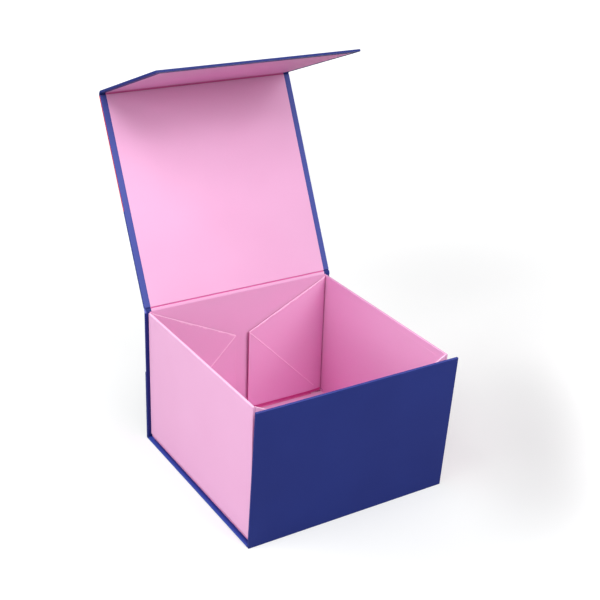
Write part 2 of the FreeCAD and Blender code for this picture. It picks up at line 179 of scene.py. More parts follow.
@dataclass(frozen=True)
class BoxPlan:
    """Sizes and places that the pieces share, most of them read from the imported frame.

    Attributes:
        paper: Thickness of one paper with its glue.
        panel: Thickness of a wrapped panel.
        wall: Thickness of a wrapped side wall.
        turn_in: Cover paper left showing round a lining.
        crease_gap: Distance from a panel's end to the crease that it folds on.
        gusset: Thickness of a gusset card.
        hinge_strip: Width of the paper strip between lid and flap, crease to crease.
        half_width: Half the width of a case panel.
        tray_half: Half the width over the side walls.
        base_front: Front end of the base panel.
        inner_back: Inner face of the back panel.
        back_height: Top of the back panel.
        wall_foot: Foot of the side walls.
        wall_top: Top of the side walls.
        lid_line: Y and Z of the crease that the lid turns on.
        flap_line: Y and Z of the crease at the lid's end.
        flap_fold: Turn from the lid's plane to the flap's.
        front_ratio: Turn of the front panel for each degree of the lid.
    """

    paper: float = 0.25 * MM
    panel: float = 2.5 * MM
    wall: float = 2.4 * MM
    turn_in: float = 6.4 * MM
    crease_gap: float = 0.5 * MM
    gusset: float = 1.2 * MM
    hinge_strip: float = 1.5 * MM
    half_width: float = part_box("base_cover")[HIGH][X]
    tray_half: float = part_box("right_wall_wrap")[HIGH][X]
    base_front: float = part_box("base_cover")[LOW][Y]
    inner_back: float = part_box("back_lining")[LOW][Y]
    back_height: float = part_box("back_cover")[HIGH][Z]
    wall_foot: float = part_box("right_wall_wrap")[LOW][Z]
    wall_top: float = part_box("right_wall_wrap")[HIGH][Z]
    lid_line: tuple[float, float] = pivot("lid_hinge")
    flap_line: tuple[float, float] = pivot("flap_hinge")
    flap_fold: float = -joint("flap_hinge")["range_deg"][LOW]
    front_ratio: float = next(link["ratio"] for link in frame["record"]["behaviour"]["couplings"]
                              if link["joint"] == "front_fold")

    @property
    def wall_inside(self) -> float:
        """Inner face of the right side wall."""
        return self.tray_half - self.wall

    @property
    def front_place(self) -> Place:
        """Front panel, leaning out about its foot while the box is open."""
        lean = -joint("lid_hinge")["range_deg"][HIGH] * self.front_ratio
        return Place(*pivot("front_fold"), 90.0 - lean, faces_back=True)

    @property
    def front_height(self) -> float:
        """Length of the front panel, from its foot to its top edge."""
        place = self.front_place
        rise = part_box("front_cover")[HIGH][Z] - place.z
        return rise / math.sin(math.radians(place.turn))

    @property
    def back_place(self) -> Place:
        """Back panel, upright."""
        return Place(self.inner_back + self.panel, 0.0, 90.0)

    @property
    def lid_span(self) -> tuple[float, float]:
        """Way from the lid's crease to the crease at its end, in Y and Z."""
        (y_low, z_low), (y_high, z_high) = self.lid_line, self.flap_line
        return y_high - y_low, z_high - z_low

    @property
    def lid_length(self) -> float:
        """Distance between the lid's two creases."""
        return math.hypot(*self.lid_span)

    @property
    def lid_place(self) -> Place:
        """Lid, leaning back from its crease."""
        back, rise = self.lid_span
        return Place(*self.lid_line, math.degrees(math.atan2(rise, back)))

    @property
    def strip_place(self) -> Place:
        """Paper strip between lid and flap, at half the flap's fold."""
        return Place(*self.flap_line, self.lid_place.turn + self.flap_fold / 2.0)

    @property
    def flap_place(self) -> Place:
        """Closing flap, folded forward from the strip's far crease."""
        (line,) = self.strip_place.line((self.hinge_strip, 0.0))
        return Place(*line, self.lid_place.turn + self.flap_fold)

    @property
    def flap_length(self) -> float:
        """Length of the closing flap, from its crease to its free edge."""
        place = self.flap_place
        reach = place.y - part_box("flap_cover")[LOW][Y]
        return reach / -math.cos(math.radians(place.turn))


PLAN = BoxPlan()


# ---- Node trees ----


class Tree:
    """Short way to place and link the nodes of a shader or geometry tree."""

    def __init__(self, nodes_of: NodeTree) -> None:
        """Wrap a node tree.

        Args:
            nodes_of: The tree to build in.
        """
        self.tree = nodes_of

    @classmethod
    def of_material(cls, name: str) -> tuple[Material, "Tree"]:
        """Make a material with an empty tree.

        Args:
            name: Name of the material.

        Returns:
            The material and its tree.
        """
        material = bpy.data.materials.new(name)
        material.use_nodes = True
        material.node_tree.nodes.clear()
        return material, cls(material.node_tree)

    def sockets(self, kind: str, out: bool = False, **values: object) -> None:
        """Declare input or output sockets of one type.

        Args:
            kind: Their type, such as Float.
            out: True for outputs.
            **values: Each one's default value, or None. Underscores stand for spaces.
        """
        way = "OUTPUT" if out else "INPUT"
        for name, value in values.items():
            made = self.tree.interface.new_socket(name.replace("_", " "), in_out=way,
                                                  socket_type=f"NodeSocket{kind}")
            if value is not None:
                made.default_value = value

    def add(self, kind: str, options: dict | None = None, **inputs: object) -> Node:
        """Add a node.

        Args:
            kind: Type name of the node.
            options: Properties to set on the node itself.
            **inputs: A value or a source socket for each input. Underscores stand for spaces, and
                a name such as i0 means the input of that number.

        Returns:
            The new node.
        """
        node = self.tree.nodes.new(kind)
        for key, value in (options or {}).items():
            setattr(node, key, value)
        for key, value in inputs.items():
            numbered = key[0] == "i" and key[1:].isdigit()
            target = node.inputs[int(key[1:])] if numbered else node.inputs[key.replace("_", " ")]
            if isinstance(value, NodeSocket):
                self.tree.links.new(value, target)
            else:
                target.default_value = value
        return node

    def out(self, kind: str, options: dict | None = None, **inputs: object) -> NodeSocket:
        """Add a node and give its first output. The arguments are those of add()."""
        return self.add(kind, options, **inputs).outputs[0]

    def place(self) -> NodeSocket:
        """Object coordinates."""
        return self.add("ShaderNodeTexCoord").outputs["Object"]

    def math(self, operation: str, *values: object) -> NodeSocket:
        """Add a Math node.

        Args:
            operation: Its operation, such as ADD.
            *values: Its inputs, each a number or a source socket.

        Returns:
            The node's output.
        """
        inputs = {f"i{index}": value for index, value in enumerate(values)}
        return self.out("ShaderNodeMath", {"operation": operation}, **inputs)

    def length(self, vector: NodeSocket) -> NodeSocket:
        """Length of a vector."""
        return self.add("ShaderNodeVectorMath", {"operation": "LENGTH"}, i0=vector).outputs[1]

    def ramp(self, value: object, low: float, high: float, to_low: float = 0.0,
             to_high: float = 1.0) -> NodeSocket:
        """Add a smooth Map Range node.

        Args:
            value: Number or source socket.
            low: Input value that gives to_low.
            high: Input value that gives to_high.
            to_low: Result at low.
            to_high: Result at high.

        Returns:
            The node's output.
        """
        return self.out("ShaderNodeMapRange", {"interpolation_type": "SMOOTHSTEP"},
                        i0=value, i1=low, i2=high, i3=to_low, i4=to_high)

    def blend(self, factor: object, first: object, second: object) -> NodeSocket:
        """Add a colour Mix node.

        Args:
            factor: Share of the second colour, a number or a source socket.
            first: First colour, or its source socket.
            second: Second colour, or its source socket.

        Returns:
            The node's colour output.
        """
        return self.add("ShaderNodeMix", {"data_type": "RGBA"}, i0=factor, i6=first,
                        i7=second).outputs[2]


def shader_group(name: str) -> Tree:
    """New shader group with a Vector input.

    Args:
        name: Name of the group.

    Returns:
        The tree of the new group.
    """
    tree = Tree(bpy.data.node_groups.new(name, "ShaderNodeTree"))
    tree.sockets("Vector", Vector=None)
    return tree


def paper_grain_group() -> NodeTree:
    """Shared look of laminated paper: fibres, slow tone drift and the film's faint ripple.

    Returns:
        Shader group with Vector, Fibre Scale, Drift Scale, Ripple Scale in, and Tone, Height out.
    """
    tree = shader_group("paper_grain")
    tree.sockets("Float", Fibre_Scale=900.0, Drift_Scale=14.0, Ripple_Scale=160.0)
    tree.sockets("Float", out=True, Tone=None, Height=None)
    source = tree.add("NodeGroupInput").outputs
    fibres, drift, ripple = [
        tree.out("ShaderNodeTexNoise", Vector=source["Vector"], Scale=source[scale],
                 Detail=detail, Roughness=roughness)
        for scale, detail, roughness in (("Fibre Scale", 4.0, 0.62), ("Drift Scale", 2.0, 0.5),
                                         ("Ripple Scale", 1.0, 0.5))]
    tone = tree.math("MULTIPLY", fibres, 0.35)
    tone = tree.math("MULTIPLY_ADD", drift, 0.65, tone)
    height = tree.math("MULTIPLY_ADD", ripple, 0.8, fibres)
    tree.add("NodeGroupOutput", Tone=tone, Height=height)
    return tree.tree


def edge_highlight_group() -> NodeTree:
    """Painted highlight shared by the papers: lighter along a wrapped edge, broken up by noise.

    Returns:
        Shader group with Vector, Distance, Width, Breakup in, and Mask out.
    """
    tree = shader_group("edge_wear")
    tree.sockets("Float", Distance=1.0, Width=0.6 * MM, Breakup=1.0)
    tree.sockets("Float", out=True, Mask=None)
    source = tree.add("NodeGroupInput").outputs
    # Noise that breaks up the painted edge highlight
    highlight_breakup = tree.out("ShaderNodeTexNoise", Vector=source["Vector"], Scale=90.0, Detail=5.0,
                       Roughness=0.7)
    reach = tree.ramp(highlight_breakup, 0.36, 0.72, -0.6, 0.5)
    reach = tree.math("MULTIPLY_ADD", reach, source["Breakup"], 0.85)
    reach = tree.math("MULTIPLY", reach, source["Width"])
    share = tree.math("DIVIDE", source["Distance"], reach)
    mask = tree.ramp(share, 0.35, 1.0, 1.0, 0.0)
    tree.add("NodeGroupOutput", Mask=mask)
    return tree.tree


def linear(colour: Rgb) -> tuple[float, float, float, float]:
    """Scene-linear colour with alpha, from display values between 0 and 255.

    Args:
        colour: Red, green and blue, between 0 and 255.

    Returns:
        Red, green, blue and alpha.
    """
    def channel(value: float) -> float:
        share = value / 255.0
        return share / 12.92 if share <= 0.04045 else ((share + 0.055) / 1.055) ** 2.4
    return (*(channel(value) for value in colour), 1.0)


# ---- Finishes ----


@dataclass(frozen=True)
class PaperFinish:
    """Laminated paper or faced card, as it is wrapped over board.

    Attributes:
        name: Name of the material.
        colour: Printed colour, in display values.
        drift_colour: The same colour where the tone drifts.
        highlit_colour: Painted highlight colour along its wrapped edges.
        bounce_colour: Colour that it passes on to the paper next to it in bounced light; the
        pink's deeper pink there paints the shade inside the tray.
        highlight: How much of the painted highlight colour shows, 0 to 1.
        highlight_width: Reach of the painted highlight from an edge.
        breakup: How uneven the painted highlight is, 0 to 1.
        field_colour: Colour of a plain printed field, or None.
        roughness: Least and most roughness of the film.
        sheen_level: Specular level of the film.
        bump: Strength of the grain.
        bump_depth: Depth of the grain.
    """

    name: str
    colour: Rgb
    drift_colour: Rgb
    highlit_colour: Rgb
    bounce_colour: Rgb
    wear: float
    highlight_width: float
    breakup: float = 1.0
    field_colour: Rgb | None = None
    roughness: tuple[float, float] = (0.46, 0.55)
    sheen_level: float = 0.2
    bump: float = 0.12
    bump_depth: float = 0.05 * MM

    def material(self, grain_group: NodeTree, highlight_group: NodeTree) -> Material:
        """Build the material.

        Args:
            grain_group: The shared paper grain.
            highlight_group: The shared painted edge highlight.

        Returns:
            The finished material.
        """
        material, tree = Tree.of_material(self.name)
        place = tree.place()
        grain = tree.add("ShaderNodeGroup", {"node_tree": grain_group}, Vector=place).outputs
        wear = tree.out("ShaderNodeGroup", {"node_tree": highlight_group}, Vector=place,
                        Distance=self._attribute(tree, "edge_distance"), Width=self.highlight_width,
                        Breakup=self.breakup)
        tone = tree.ramp(grain["Tone"], *NOISE_SPREAD)
        colour = tree.blend(tone, linear(self.colour), linear(self.drift_colour))
        if self.field_colour:
            printed = tree.ramp(self._attribute(tree, "printed_field"), *FIELD_EDGE)
            colour = tree.blend(printed, colour, linear(self.field_colour))
        # Painted edge highlight: the highlit colour wherever the mask reaches
        mask = tree.math("MULTIPLY", wear, self.wear)
        colour = tree.blend(mask, colour, linear(self.highlit_colour))
        # Bounced light takes bounce_colour; the pink's deeper one is painted shade inside the tray
        bounced = tree.add("ShaderNodeLightPath").outputs["Is Diffuse Ray"]
        colour = tree.blend(bounced, colour, linear(self.bounce_colour))
        rough = tree.ramp(grain["Tone"], *NOISE_SPREAD, *self.roughness)
        normal = tree.out("ShaderNodeBump", Strength=self.bump, Distance=self.bump_depth,
                          Height=grain["Height"])
        shader = tree.add("ShaderNodeBsdfPrincipled", Base_Color=colour, Roughness=rough,
                          Normal=normal)
        shader.inputs["Specular IOR Level"].default_value = self.sheen_level
        tree.add("ShaderNodeOutputMaterial", Surface=shader.outputs[0])
        return material

    @staticmethod
    def _attribute(tree: Tree, name: str) -> NodeSocket:
        """Value of a piece's own attribute."""
        return tree.add("ShaderNodeAttribute", {"attribute_name": name}).outputs["Fac"]


@dataclass(frozen=True)
class BoardFinish:
    """Raw greyboard, seen only where a wrap stops short of an edge.

    Attributes:
        colour: Its colour, in display values.
        flecks: Colour of its flecks.
    """

    colour: Rgb = (171, 163, 154)
    flecks: Rgb = (126, 116, 106)

    def material(self) -> Material:
        """Build the material: matt grey pulp with darker flecks.

        Returns:
            The finished material.
        """
        material, tree = Tree.of_material("greyboard")
        pulp = tree.out("ShaderNodeTexNoise", Vector=tree.place(), Scale=700.0, Detail=5.0)
        colour = tree.blend(tree.ramp(pulp, 0.5, 0.7), linear(self.colour), linear(self.flecks))
        normal = tree.out("ShaderNodeBump", Strength=0.4, Distance=0.05 * MM, Height=pulp)
        shader = tree.add("ShaderNodeBsdfPrincipled", Base_Color=colour, Normal=normal)
        shader.inputs["Roughness"].default_value = 0.9
        tree.add("ShaderNodeOutputMaterial", Surface=shader.outputs[0])
        return material


@dataclass(frozen=True)
class MetalFinish:
    """Plated or plain steel of the closing magnets and their plates.

    Attributes:
        name: Name of the material.
        colour: Its colour, in display values.
        roughness: Its least and most roughness.
    """

    name: str
    colour: Rgb
    roughness: tuple[float, float]

    def material(self) -> Material:
        """Build the material: metal with fine turning marks.

        Returns:
            The finished material.
        """
        material, tree = Tree.of_material(self.name)
        marks = tree.out("ShaderNodeTexNoise", Vector=tree.place(), Scale=1500.0, Detail=2.0)
        rough = tree.ramp(marks, *NOISE_SPREAD, *self.roughness)
        shader = tree.add("ShaderNodeBsdfPrincipled", Roughness=rough)
        shader.inputs["Base Color"].default_value = linear(self.colour)
        shader.inputs["Metallic"].default_value = 1.0
        tree.add("ShaderNodeOutputMaterial", Surface=shader.outputs[0])
        return material


class Finishes:
    """Every material of the box."""

    def __init__(self) -> None:
        """Build all the finishes."""
        groups = paper_grain_group(), edge_highlight_group()
        # edge_highlight_blue and margin_highlight_blue are painted highlights on the navy paper
        navy, edge_highlight_blue, margin_highlight_blue = (28, 43, 118), (112, 122, 210), (90, 102, 188)
        blue = dict(colour=navy, drift_colour=(28, 41, 113), bounce_colour=navy)
        # The pink's bounce_colour, deeper than its colour, is painted shade inside the tray
        pink = dict(colour=(231, 173, 211), drift_colour=(229, 170, 208),
                    highlit_colour=(250, 206, 232), bounce_colour=(223, 92, 188))
        # Deeper pink that paints the shade in grooves and gaps, used by the fold finish
        deep = dict(pink, colour=(232, 112, 174), drift_colour=(226, 106, 168))
        # Painted highlight along the top edges of the front, back and lap panels
        self.blue = PaperFinish("blue_paper", highlit_colour=edge_highlight_blue, wear=0.2,
                                highlight_width=0.8 * MM, **blue).material(*groups)
        # Lid: printed red field outside, and a painted highlight over its inner turn-in margins
        self.lid_blue = PaperFinish("blue_paper_with_field", highlit_colour=margin_highlight_blue, wear=0.46,
                                    highlight_width=14.0 * MM, breakup=0.1,
                                    field_colour=(206, 48, 60), **blue).material(*groups)
        # Base: painted highlight on the ledge and sides along its edges
        self.base_blue = PaperFinish("blue_paper_base", highlit_colour=(58, 86, 186), wear=0.5,
                                     highlight_width=4.2 * MM, breakup=0.1, **blue).material(*groups)
        # Painted highlight at the ends of the lid's hinge strip
        self.hinge_highlight_blue = PaperFinish("blue_paper_creased", highlit_colour=edge_highlight_blue, wear=0.8,
                                        highlight_width=2.0 * MM, **blue).material(*groups)
        # Pink paper: painted highlight along the left wall's top edge and at the hinge strips' ends
        self.pink = PaperFinish("pink_paper", wear=0.65, highlight_width=0.8 * MM,
                                **pink).material(*groups)
        # Gusset card: painted highlight along its slanted top edges and over its crease ridges
        self.card = PaperFinish("pink_card", wear=0.8, highlight_width=2.0 * MM,
                                **pink).material(*groups)
        # Painted shade: deeper pink without highlight, for the gussets' gaps and the hinge grooves
        self.fold = PaperFinish("pink_paper_fold", wear=0.0, highlight_width=1.0 * MM,
                                **deep).material(*groups)
        self.greyboard = BoardFinish().material()
        self.magnet = MetalFinish("plated_magnet", (200, 200, 205), (0.25, 0.4)).material()
        self.steel = MetalFinish("steel_plate", (176, 176, 178), (0.35, 0.5)).material()

    def for_slot(self, slot: Slot) -> Material:
        """The material that a CAD node of that slot shows.

        Args:
            slot: The node's slot.

        Returns:
            The material.
        """
        return {Slot.GREYBOARD: self.greyboard, Slot.BLUE_PAPER: self.blue,
                Slot.PINK_PAPER: self.pink, Slot.PINK_CARD: self.card,
                Slot.MAGNET: self.magnet, Slot.STEEL: self.steel}[slot]


# ---- Mesh makers ----


def new_object(name: str, data: ID) -> Object:
    """Link a new object that shows a mesh, or is a lamp or a camera.

    Args:
        name: Name of the object.
        data: What it holds.

    Returns:
        The object.
    """
    made = bpy.data.objects.new(name, data)
    bpy.context.scene.collection.objects.link(made)
    return made


def round_edges(carrier: Object, radius: float, segments: int) -> None:
    """Round an object's sharp edges with a Bevel modifier.

    Args:
        carrier: The object.
        radius: Radius of the rounding.
        segments: Its number of steps.
    """
    soften = carrier.modifiers.new("rounding", "BEVEL")
    soften.width, soften.segments = radius, segments
    soften.limit_method, soften.angle_limit = "ANGLE", BEVEL_ANGLE
    soften.harden_normals = True


def finished_mesh(carrier: Object, name: str) -> Mesh:
    """Turn an object with its modifiers into a plain mesh, and remove the object.

    Args:
        carrier: The object whose modifiers are finished.
        name: Name of the mesh.

    Returns:
        The new mesh.
    """
    bpy.context.view_layer.update()
    graph = bpy.context.evaluated_depsgraph_get()
    mesh = bpy.data.meshes.new_from_object(carrier.evaluated_get(graph), depsgraph=graph,
                                           preserve_all_data_layers=True)
    bpy.data.objects.remove(carrier)
    mesh.name = name
    return mesh


class Maker:
    """Geometry Nodes tree that makes the meshes of one kind of piece.

    Attributes:
        name: Name of the tree.
        sizes: Its float inputs with their defaults, with underscores for spaces.
        counts: Its whole-number inputs with their defaults.
    """

    name: str
    sizes: dict[str, float | None]
    counts: dict[str, int]

    def __init__(self) -> None:
        """Build the tree."""
        self.group = bpy.data.node_groups.new(self.name, "GeometryNodeTree")
        tree = Tree(self.group)
        tree.sockets("Geometry", Geometry=None)
        tree.sockets("Float", **self.sizes)
        tree.sockets("Int", **self.counts)
        tree.sockets("Material", Material=None)
        tree.sockets("Geometry", out=True, Geometry=None)
        source = tree.add("NodeGroupInput").outputs
        solid = tree.out("GeometryNodeRealizeInstances", Geometry=self._shape(tree, source))
        dressed = tree.out("GeometryNodeSetMaterial", Geometry=solid, Material=source["Material"])
        tree.add("NodeGroupOutput", Geometry=dressed)

    def _shape(self, tree: Tree, source: NodeInputs) -> NodeSocket:
        """Geometry of the piece, from the tree's inputs."""
        raise NotImplementedError

    def _mesh(self, name: str, drawing: Mesh, material: Material, rounding: float,
              sizes: dict[str, float]) -> Mesh:
        """Run the tree.

        Args:
            name: Name of the piece.
            drawing: Mesh that the tree starts from.
            material: Its finish.
            rounding: Radius along its edges, 0 for none.
            sizes: The tree's inputs, with underscores for spaces.

        Returns:
            The piece's mesh.
        """
        carrier = new_object(f"{name}_maker", drawing)
        nodes = carrier.modifiers.new(self.name, "NODES")
        nodes.node_group = self.group
        values = {key.replace("_", " "): value for key, value in sizes.items()}
        values["Material"] = material
        for item in self.group.interface.items_tree:
            if item.item_type == "SOCKET" and item.in_out == "INPUT" and item.name in values:
                nodes[item.identifier] = values[item.name]
        if rounding:
            round_edges(carrier, rounding, segments=4)
        mesh = finished_mesh(carrier, name)
        mesh.materials.clear()
        mesh.materials.append(material)
        for face in mesh.polygons:
            face.material_index = 0
        return mesh


class SheetMaker(Maker):
    """Maker of flat wrapped boards and sheets of paper.

    The sheet is a closed slab with a slight crown and an edge_distance attribute, which tells the
    finishes how far each point lies from the sheet's edges.
    """

    name = "flat_sheet"
    sizes = dict(Width=None, Length=None, Thickness=None, Start=None, Level=None, Crown=None,
                 Side_Shift=None, End_Shift=None, Crown_Width=1.0, Crown_Length=1.0)
    counts = dict(Columns=24, Rows=24)

    def _shape(self, tree: Tree, source: NodeInputs) -> NodeSocket:
        """Slab with its margins marked, in place along its panel, and crowned.

        Args:
            tree: Tree that the nodes go into.
            source: The tree's inputs.

        Returns:
            The finished slab.
        """
        grid = tree.out("GeometryNodeMeshGrid", i0=source["Width"], i1=source["Length"],
                        i2=source["Columns"], i3=source["Rows"])
        axes = self._axes(tree)
        across = self._margin(tree, source["Width"], tree.math("ABSOLUTE", axes[X]))
        across = tree.math("ADD", across, source["Side Shift"])
        along = self._margin(tree, source["Length"], axes[Y])
        along = tree.math("ADD", along, source["End Shift"])
        distance = tree.math("MINIMUM", across, along)
        marked = tree.out("GeometryNodeStoreNamedAttribute",
                          {"data_type": "FLOAT", "domain": "POINT"}, Geometry=grid,
                          Name="edge_distance", Value=distance)
        up = tree.out("ShaderNodeCombineXYZ", i2=source["Thickness"])
        raised = tree.out("GeometryNodeExtrudeMesh", {"mode": "FACES"}, Mesh=marked, Offset=up,
                          Individual=False)
        join = tree.add("GeometryNodeJoinGeometry", i0=raised)
        tree.tree.links.new(tree.out("GeometryNodeFlipFaces", Mesh=marked), join.inputs[0])
        closed = tree.out("GeometryNodeMergeByDistance", Geometry=join.outputs[0], Distance=MERGE)
        middle = tree.math("MULTIPLY_ADD", source["Length"], 0.5, source["Start"])
        lift = tree.out("ShaderNodeCombineXYZ", i1=middle, i2=source["Level"])
        placed = tree.out("GeometryNodeSetPosition", Geometry=closed, Offset=lift)
        return tree.out("GeometryNodeSetPosition", Geometry=placed,
                        Offset=self._crown(tree, source))

    @staticmethod
    def _axes(tree: Tree) -> NodeInputs:
        """X, Y and Z of each point."""
        position = tree.out("GeometryNodeInputPosition")
        return tree.add("ShaderNodeSeparateXYZ", i0=position).outputs

    @staticmethod
    def _margin(tree: Tree, size: NodeSocket, place: NodeSocket) -> NodeSocket:
        """Distance from the edge that lies half the size ahead."""
        return tree.math("SUBTRACT", tree.math("MULTIPLY", size, 0.5), place)

    def _crown(self, tree: Tree, source: NodeInputs) -> NodeSocket:
        """Offset that crowns the sheet over its panel: nothing at the panel's edges.

        Args:
            tree: Tree that the nodes go into.
            source: The tree's inputs.

        Returns:
            The offset.
        """
        axes = self._axes(tree)
        across, along = [tree.math("DIVIDE", tree.math("MULTIPLY", axes[axis], math.pi),
                                   source[size])
                         for axis, size in ((X, "Crown Width"), (Y, "Crown Length"))]
        height = tree.math("MULTIPLY", tree.math("COSINE", across), tree.math("SINE", along))
        height = tree.math("MULTIPLY", height, source["Crown"])
        return tree.out("ShaderNodeCombineXYZ", i2=height)

    def make(self, name: str, place: Matrix, material: Material, rounding: float,
             **sizes: float) -> Object:
        """Make one sheet, in place.

        Args:
            name: Name of the piece.
            place: Matrix from the sheet's own axes to the frame's.
            material: Its finish.
            rounding: Radius along its edges.
            **sizes: The tree's inputs, with underscores for spaces.

        Returns:
            The sheet as a plain mesh object.
        """
        drawing = bpy.data.meshes.new(f"{name}_maker")
        mesh = self._mesh(name, drawing, material, rounding, sizes)
        mesh.transform(place)
        return new_object(name, mesh)


class CreaseMaker(Maker):
    """Maker of the rounded ridge that a crease raises in card."""

    name = "crease_ridge"
    sizes = dict(Width=1.0 * MM, Height=0.3 * MM, Step=4.0 * MM, Wander=0.1 * MM)
    counts = dict(Seed=3)

    def _shape(self, tree: Tree, source: NodeInputs) -> NodeSocket:
        """Half-round section along each line of the drawing, which wanders a little.

        Args:
            tree: Tree that the nodes go into.
            source: The tree's inputs.

        Returns:
            The ridges.
        """
        lines = tree.out("GeometryNodeMeshToCurve", Mesh=source["Geometry"])
        stepped = tree.out("GeometryNodeResampleCurve", {"mode": "LENGTH"}, Curve=lines,
                           Length=source["Step"])
        reach = tree.out("ShaderNodeCombineXYZ", i0=source["Wander"], i1=0.0, i2=source["Wander"])
        back = tree.out("ShaderNodeVectorMath", {"operation": "SCALE"}, i0=reach, Scale=-1.0)
        wander = tree.out("FunctionNodeRandomValue", {"data_type": "FLOAT_VECTOR"}, Min=back,
                          Max=reach, Seed=source["Seed"])
        loose = tree.out("GeometryNodeSetPosition", Geometry=stepped, Offset=wander)
        profile = tree.out("GeometryNodeCurvePrimitiveCircle", Resolution=10, Radius=1.0)
        half = tree.math("MULTIPLY", source["Width"], 0.5)
        ratio = tree.out("ShaderNodeCombineXYZ", i0=source["Height"], i1=half, i2=1.0)
        flat = tree.out("GeometryNodeTransform", Geometry=profile, Scale=ratio)
        return tree.out("GeometryNodeCurveToMesh", Curve=loose, Profile_Curve=flat,
                        Fill_Caps=True)

    def make(self, name: str, line: Sequence[Vector], material: Material,
             **sizes: float) -> Object:
        """Make the ridge of one piece.

        Args:
            name: Name of the piece.
            line: Points along the crease.
            material: Its finish.
            **sizes: The tree's inputs, with underscores for spaces.

        Returns:
            The ridge as a plain mesh object.
        """
        drawing = bpy.data.meshes.new(f"{name}_drawing")
        steps = [(index, index + 1) for index in range(len(line) - 1)]
        drawing.from_pydata([tuple(point) for point in line], steps, [])
        mesh = self._mesh(name, drawing, material, 0.0, sizes)
        for face in mesh.polygons:
            face.use_smooth = True
        return new_object(name, mesh)


def card_mesh(name: str, outline: Sequence[Vector], thickness: Vector, spacing: float,
              relief: Callable[[Vector], Vector], material: Material, rounding: float,
              highlit: Sequence[int] = (), shaded: Sequence[int] = (),
              shade: Material | None = None) -> Object:
    """Flat card cut to an outline, pressed into relief.

    Args:
        name: Name of the piece.
        outline: Corners of its back face, anticlockwise seen from its front.
        thickness: Offset from its back face to its front face.
        spacing: Largest spacing of its inner points.
        relief: Displacement of a point of the card.
        material: Its finish.
        rounding: Radius along its edges.
        highlit: Numbers of the sides that show the painted edge highlight, each from the corner
            of that number on.
        shaded: Numbers of the sides whose edge face shows painted shade.
        shade: Finish of those faces, a deeper pink painted as shade.

    Returns:
        The card.
    """
    build = bmesh.new()
    face = build.faces.new([build.verts.new(point) for point in outline])
    longest = max(edge.calc_length() for edge in face.edges)
    bmesh.ops.triangulate(build, faces=[face])
    for _ in range(max(1, math.ceil(math.log2(longest / spacing)))):
        bmesh.ops.subdivide_edges(build, edges=build.edges[:], cuts=1, use_grid_fill=True)
    # edge_distance from the highlit sides, where the painted edge highlight shows
    layer = build.verts.layers.float.new("edge_distance")
    sides = list(zip(outline, [*outline[1:], outline[0]]))
    for vertex in build.verts:
        reach = [distance_to_line(vertex.co, *sides[index]) for index in highlit]
        vertex[layer] = min(reach, default=NO_HIGHLIGHT)
    extruded = bmesh.ops.extrude_face_region(build, geom=build.faces[:])
    moved = [item for item in extruded["geom"] if isinstance(item, bmesh.types.BMVert)]
    bmesh.ops.translate(build, verts=moved, vec=thickness)
    for vertex in build.verts:
        vertex.co += relief(vertex.co)
    bmesh.ops.recalc_face_normals(build, faces=build.faces[:])
    # Edge faces of the shaded sides take the painted shade finish
    through = thickness.normalized()
    for face in build.faces:
        if shaded and abs(face.normal.dot(through)) < EDGE_FACE:
            middle = face.calc_center_median()
            middle -= through * (middle - outline[0]).dot(through)
            reach = [distance_to_line(middle, *side) for side in sides]
            face.material_index = int(reach.index(min(reach)) in shaded)
    mesh = mesh_from(build, name, *filter(None, (material, shade)))
    carrier = new_object(f"{name}_maker", mesh)
    round_edges(carrier, rounding, segments=3)
    return new_object(name, finished_mesh(carrier, name))


def plain_sheet(name: str, outline: Sequence[Vector], thickness: Vector,
                material: Material) -> Object:
    """Flat paper without relief or wear. The arguments are those of card_mesh()."""
    return card_mesh(name, outline, thickness, PLAIN_SPACING, lambda point: Vector(), material,
                     PAPER_ROUNDING)


def mesh_from(build: bmesh.types.BMesh, name: str, *materials: Material) -> Mesh:
    """Mesh with those materials, from a drawing that is then freed.

    Args:
        build: The drawing.
        name: Name of the mesh.
        *materials: Its materials, in order.

    Returns:
        The mesh.
    """
    mesh = bpy.data.meshes.new(name)
    build.to_mesh(mesh)
    build.free()
    for material in materials:
        mesh.materials.append(material)
    return mesh


def distance_to_line(point: Vector, start: Vector, end: Vector) -> float:
    """Distance of a point from the straight line through start and end."""
    way = (end - start).normalized()
    return ((point - start) - way * (point - start).dot(way)).length


def strip_mesh(name: str, inner: Section, outer: Section, finishes: Sequence[Material],
               groove_from: int) -> Object:
    """Paper strip across the box, swept along X between two section lines.

    Args:
        name: Name of the piece.
        inner: Section line of its inside face, in Y and Z.
        outer: Section line of its outside face, with as many points.
        finishes: Finish of its inside face, of its outside face with the margins at its ends, and
        of the groove in its inside face, a deeper pink painted as shade.
        groove_from: Number of the section point where the groove starts.

    Returns:
        The strip.
    """
    end, turned = PLAN.half_width, PLAN.half_width - PLAN.turn_in
    build = bmesh.new()
    layer = build.verts.layers.float.new("edge_distance")
    rings = []
    for x in (-end, -turned, turned, end):
        ring = [build.verts.new((x, y, z)) for y, z in [*inner, *reversed(outer)]]
        for vertex in ring:
            # edge_distance from the strip's ends, where the painted edge highlight shows
            vertex[layer] = end - abs(x)
        rings.append(ring)
    count = len(rings[0])
    for span, (low, high) in enumerate(zip(rings, rings[1:])):
        for index in range(count):
            following = (index + 1) % count
            face = build.faces.new((low[index], low[following], high[following], high[index]))
            face.smooth = True
            on_inside = index < len(inner) - 1 and span == 1
            kind = INSIDE if index < groove_from else GROOVE
            face.material_index = kind if on_inside else OUTSIDE
    for ring in (rings[0], rings[-1]):
        build.faces.new(ring).material_index = OUTSIDE
    bmesh.ops.recalc_face_normals(build, faces=build.faces[:])
    mesh = mesh_from(build, name, *finishes)
    mesh.set_sharp_from_angle(angle=STRIP_SHARP)
    return new_object(name, mesh)


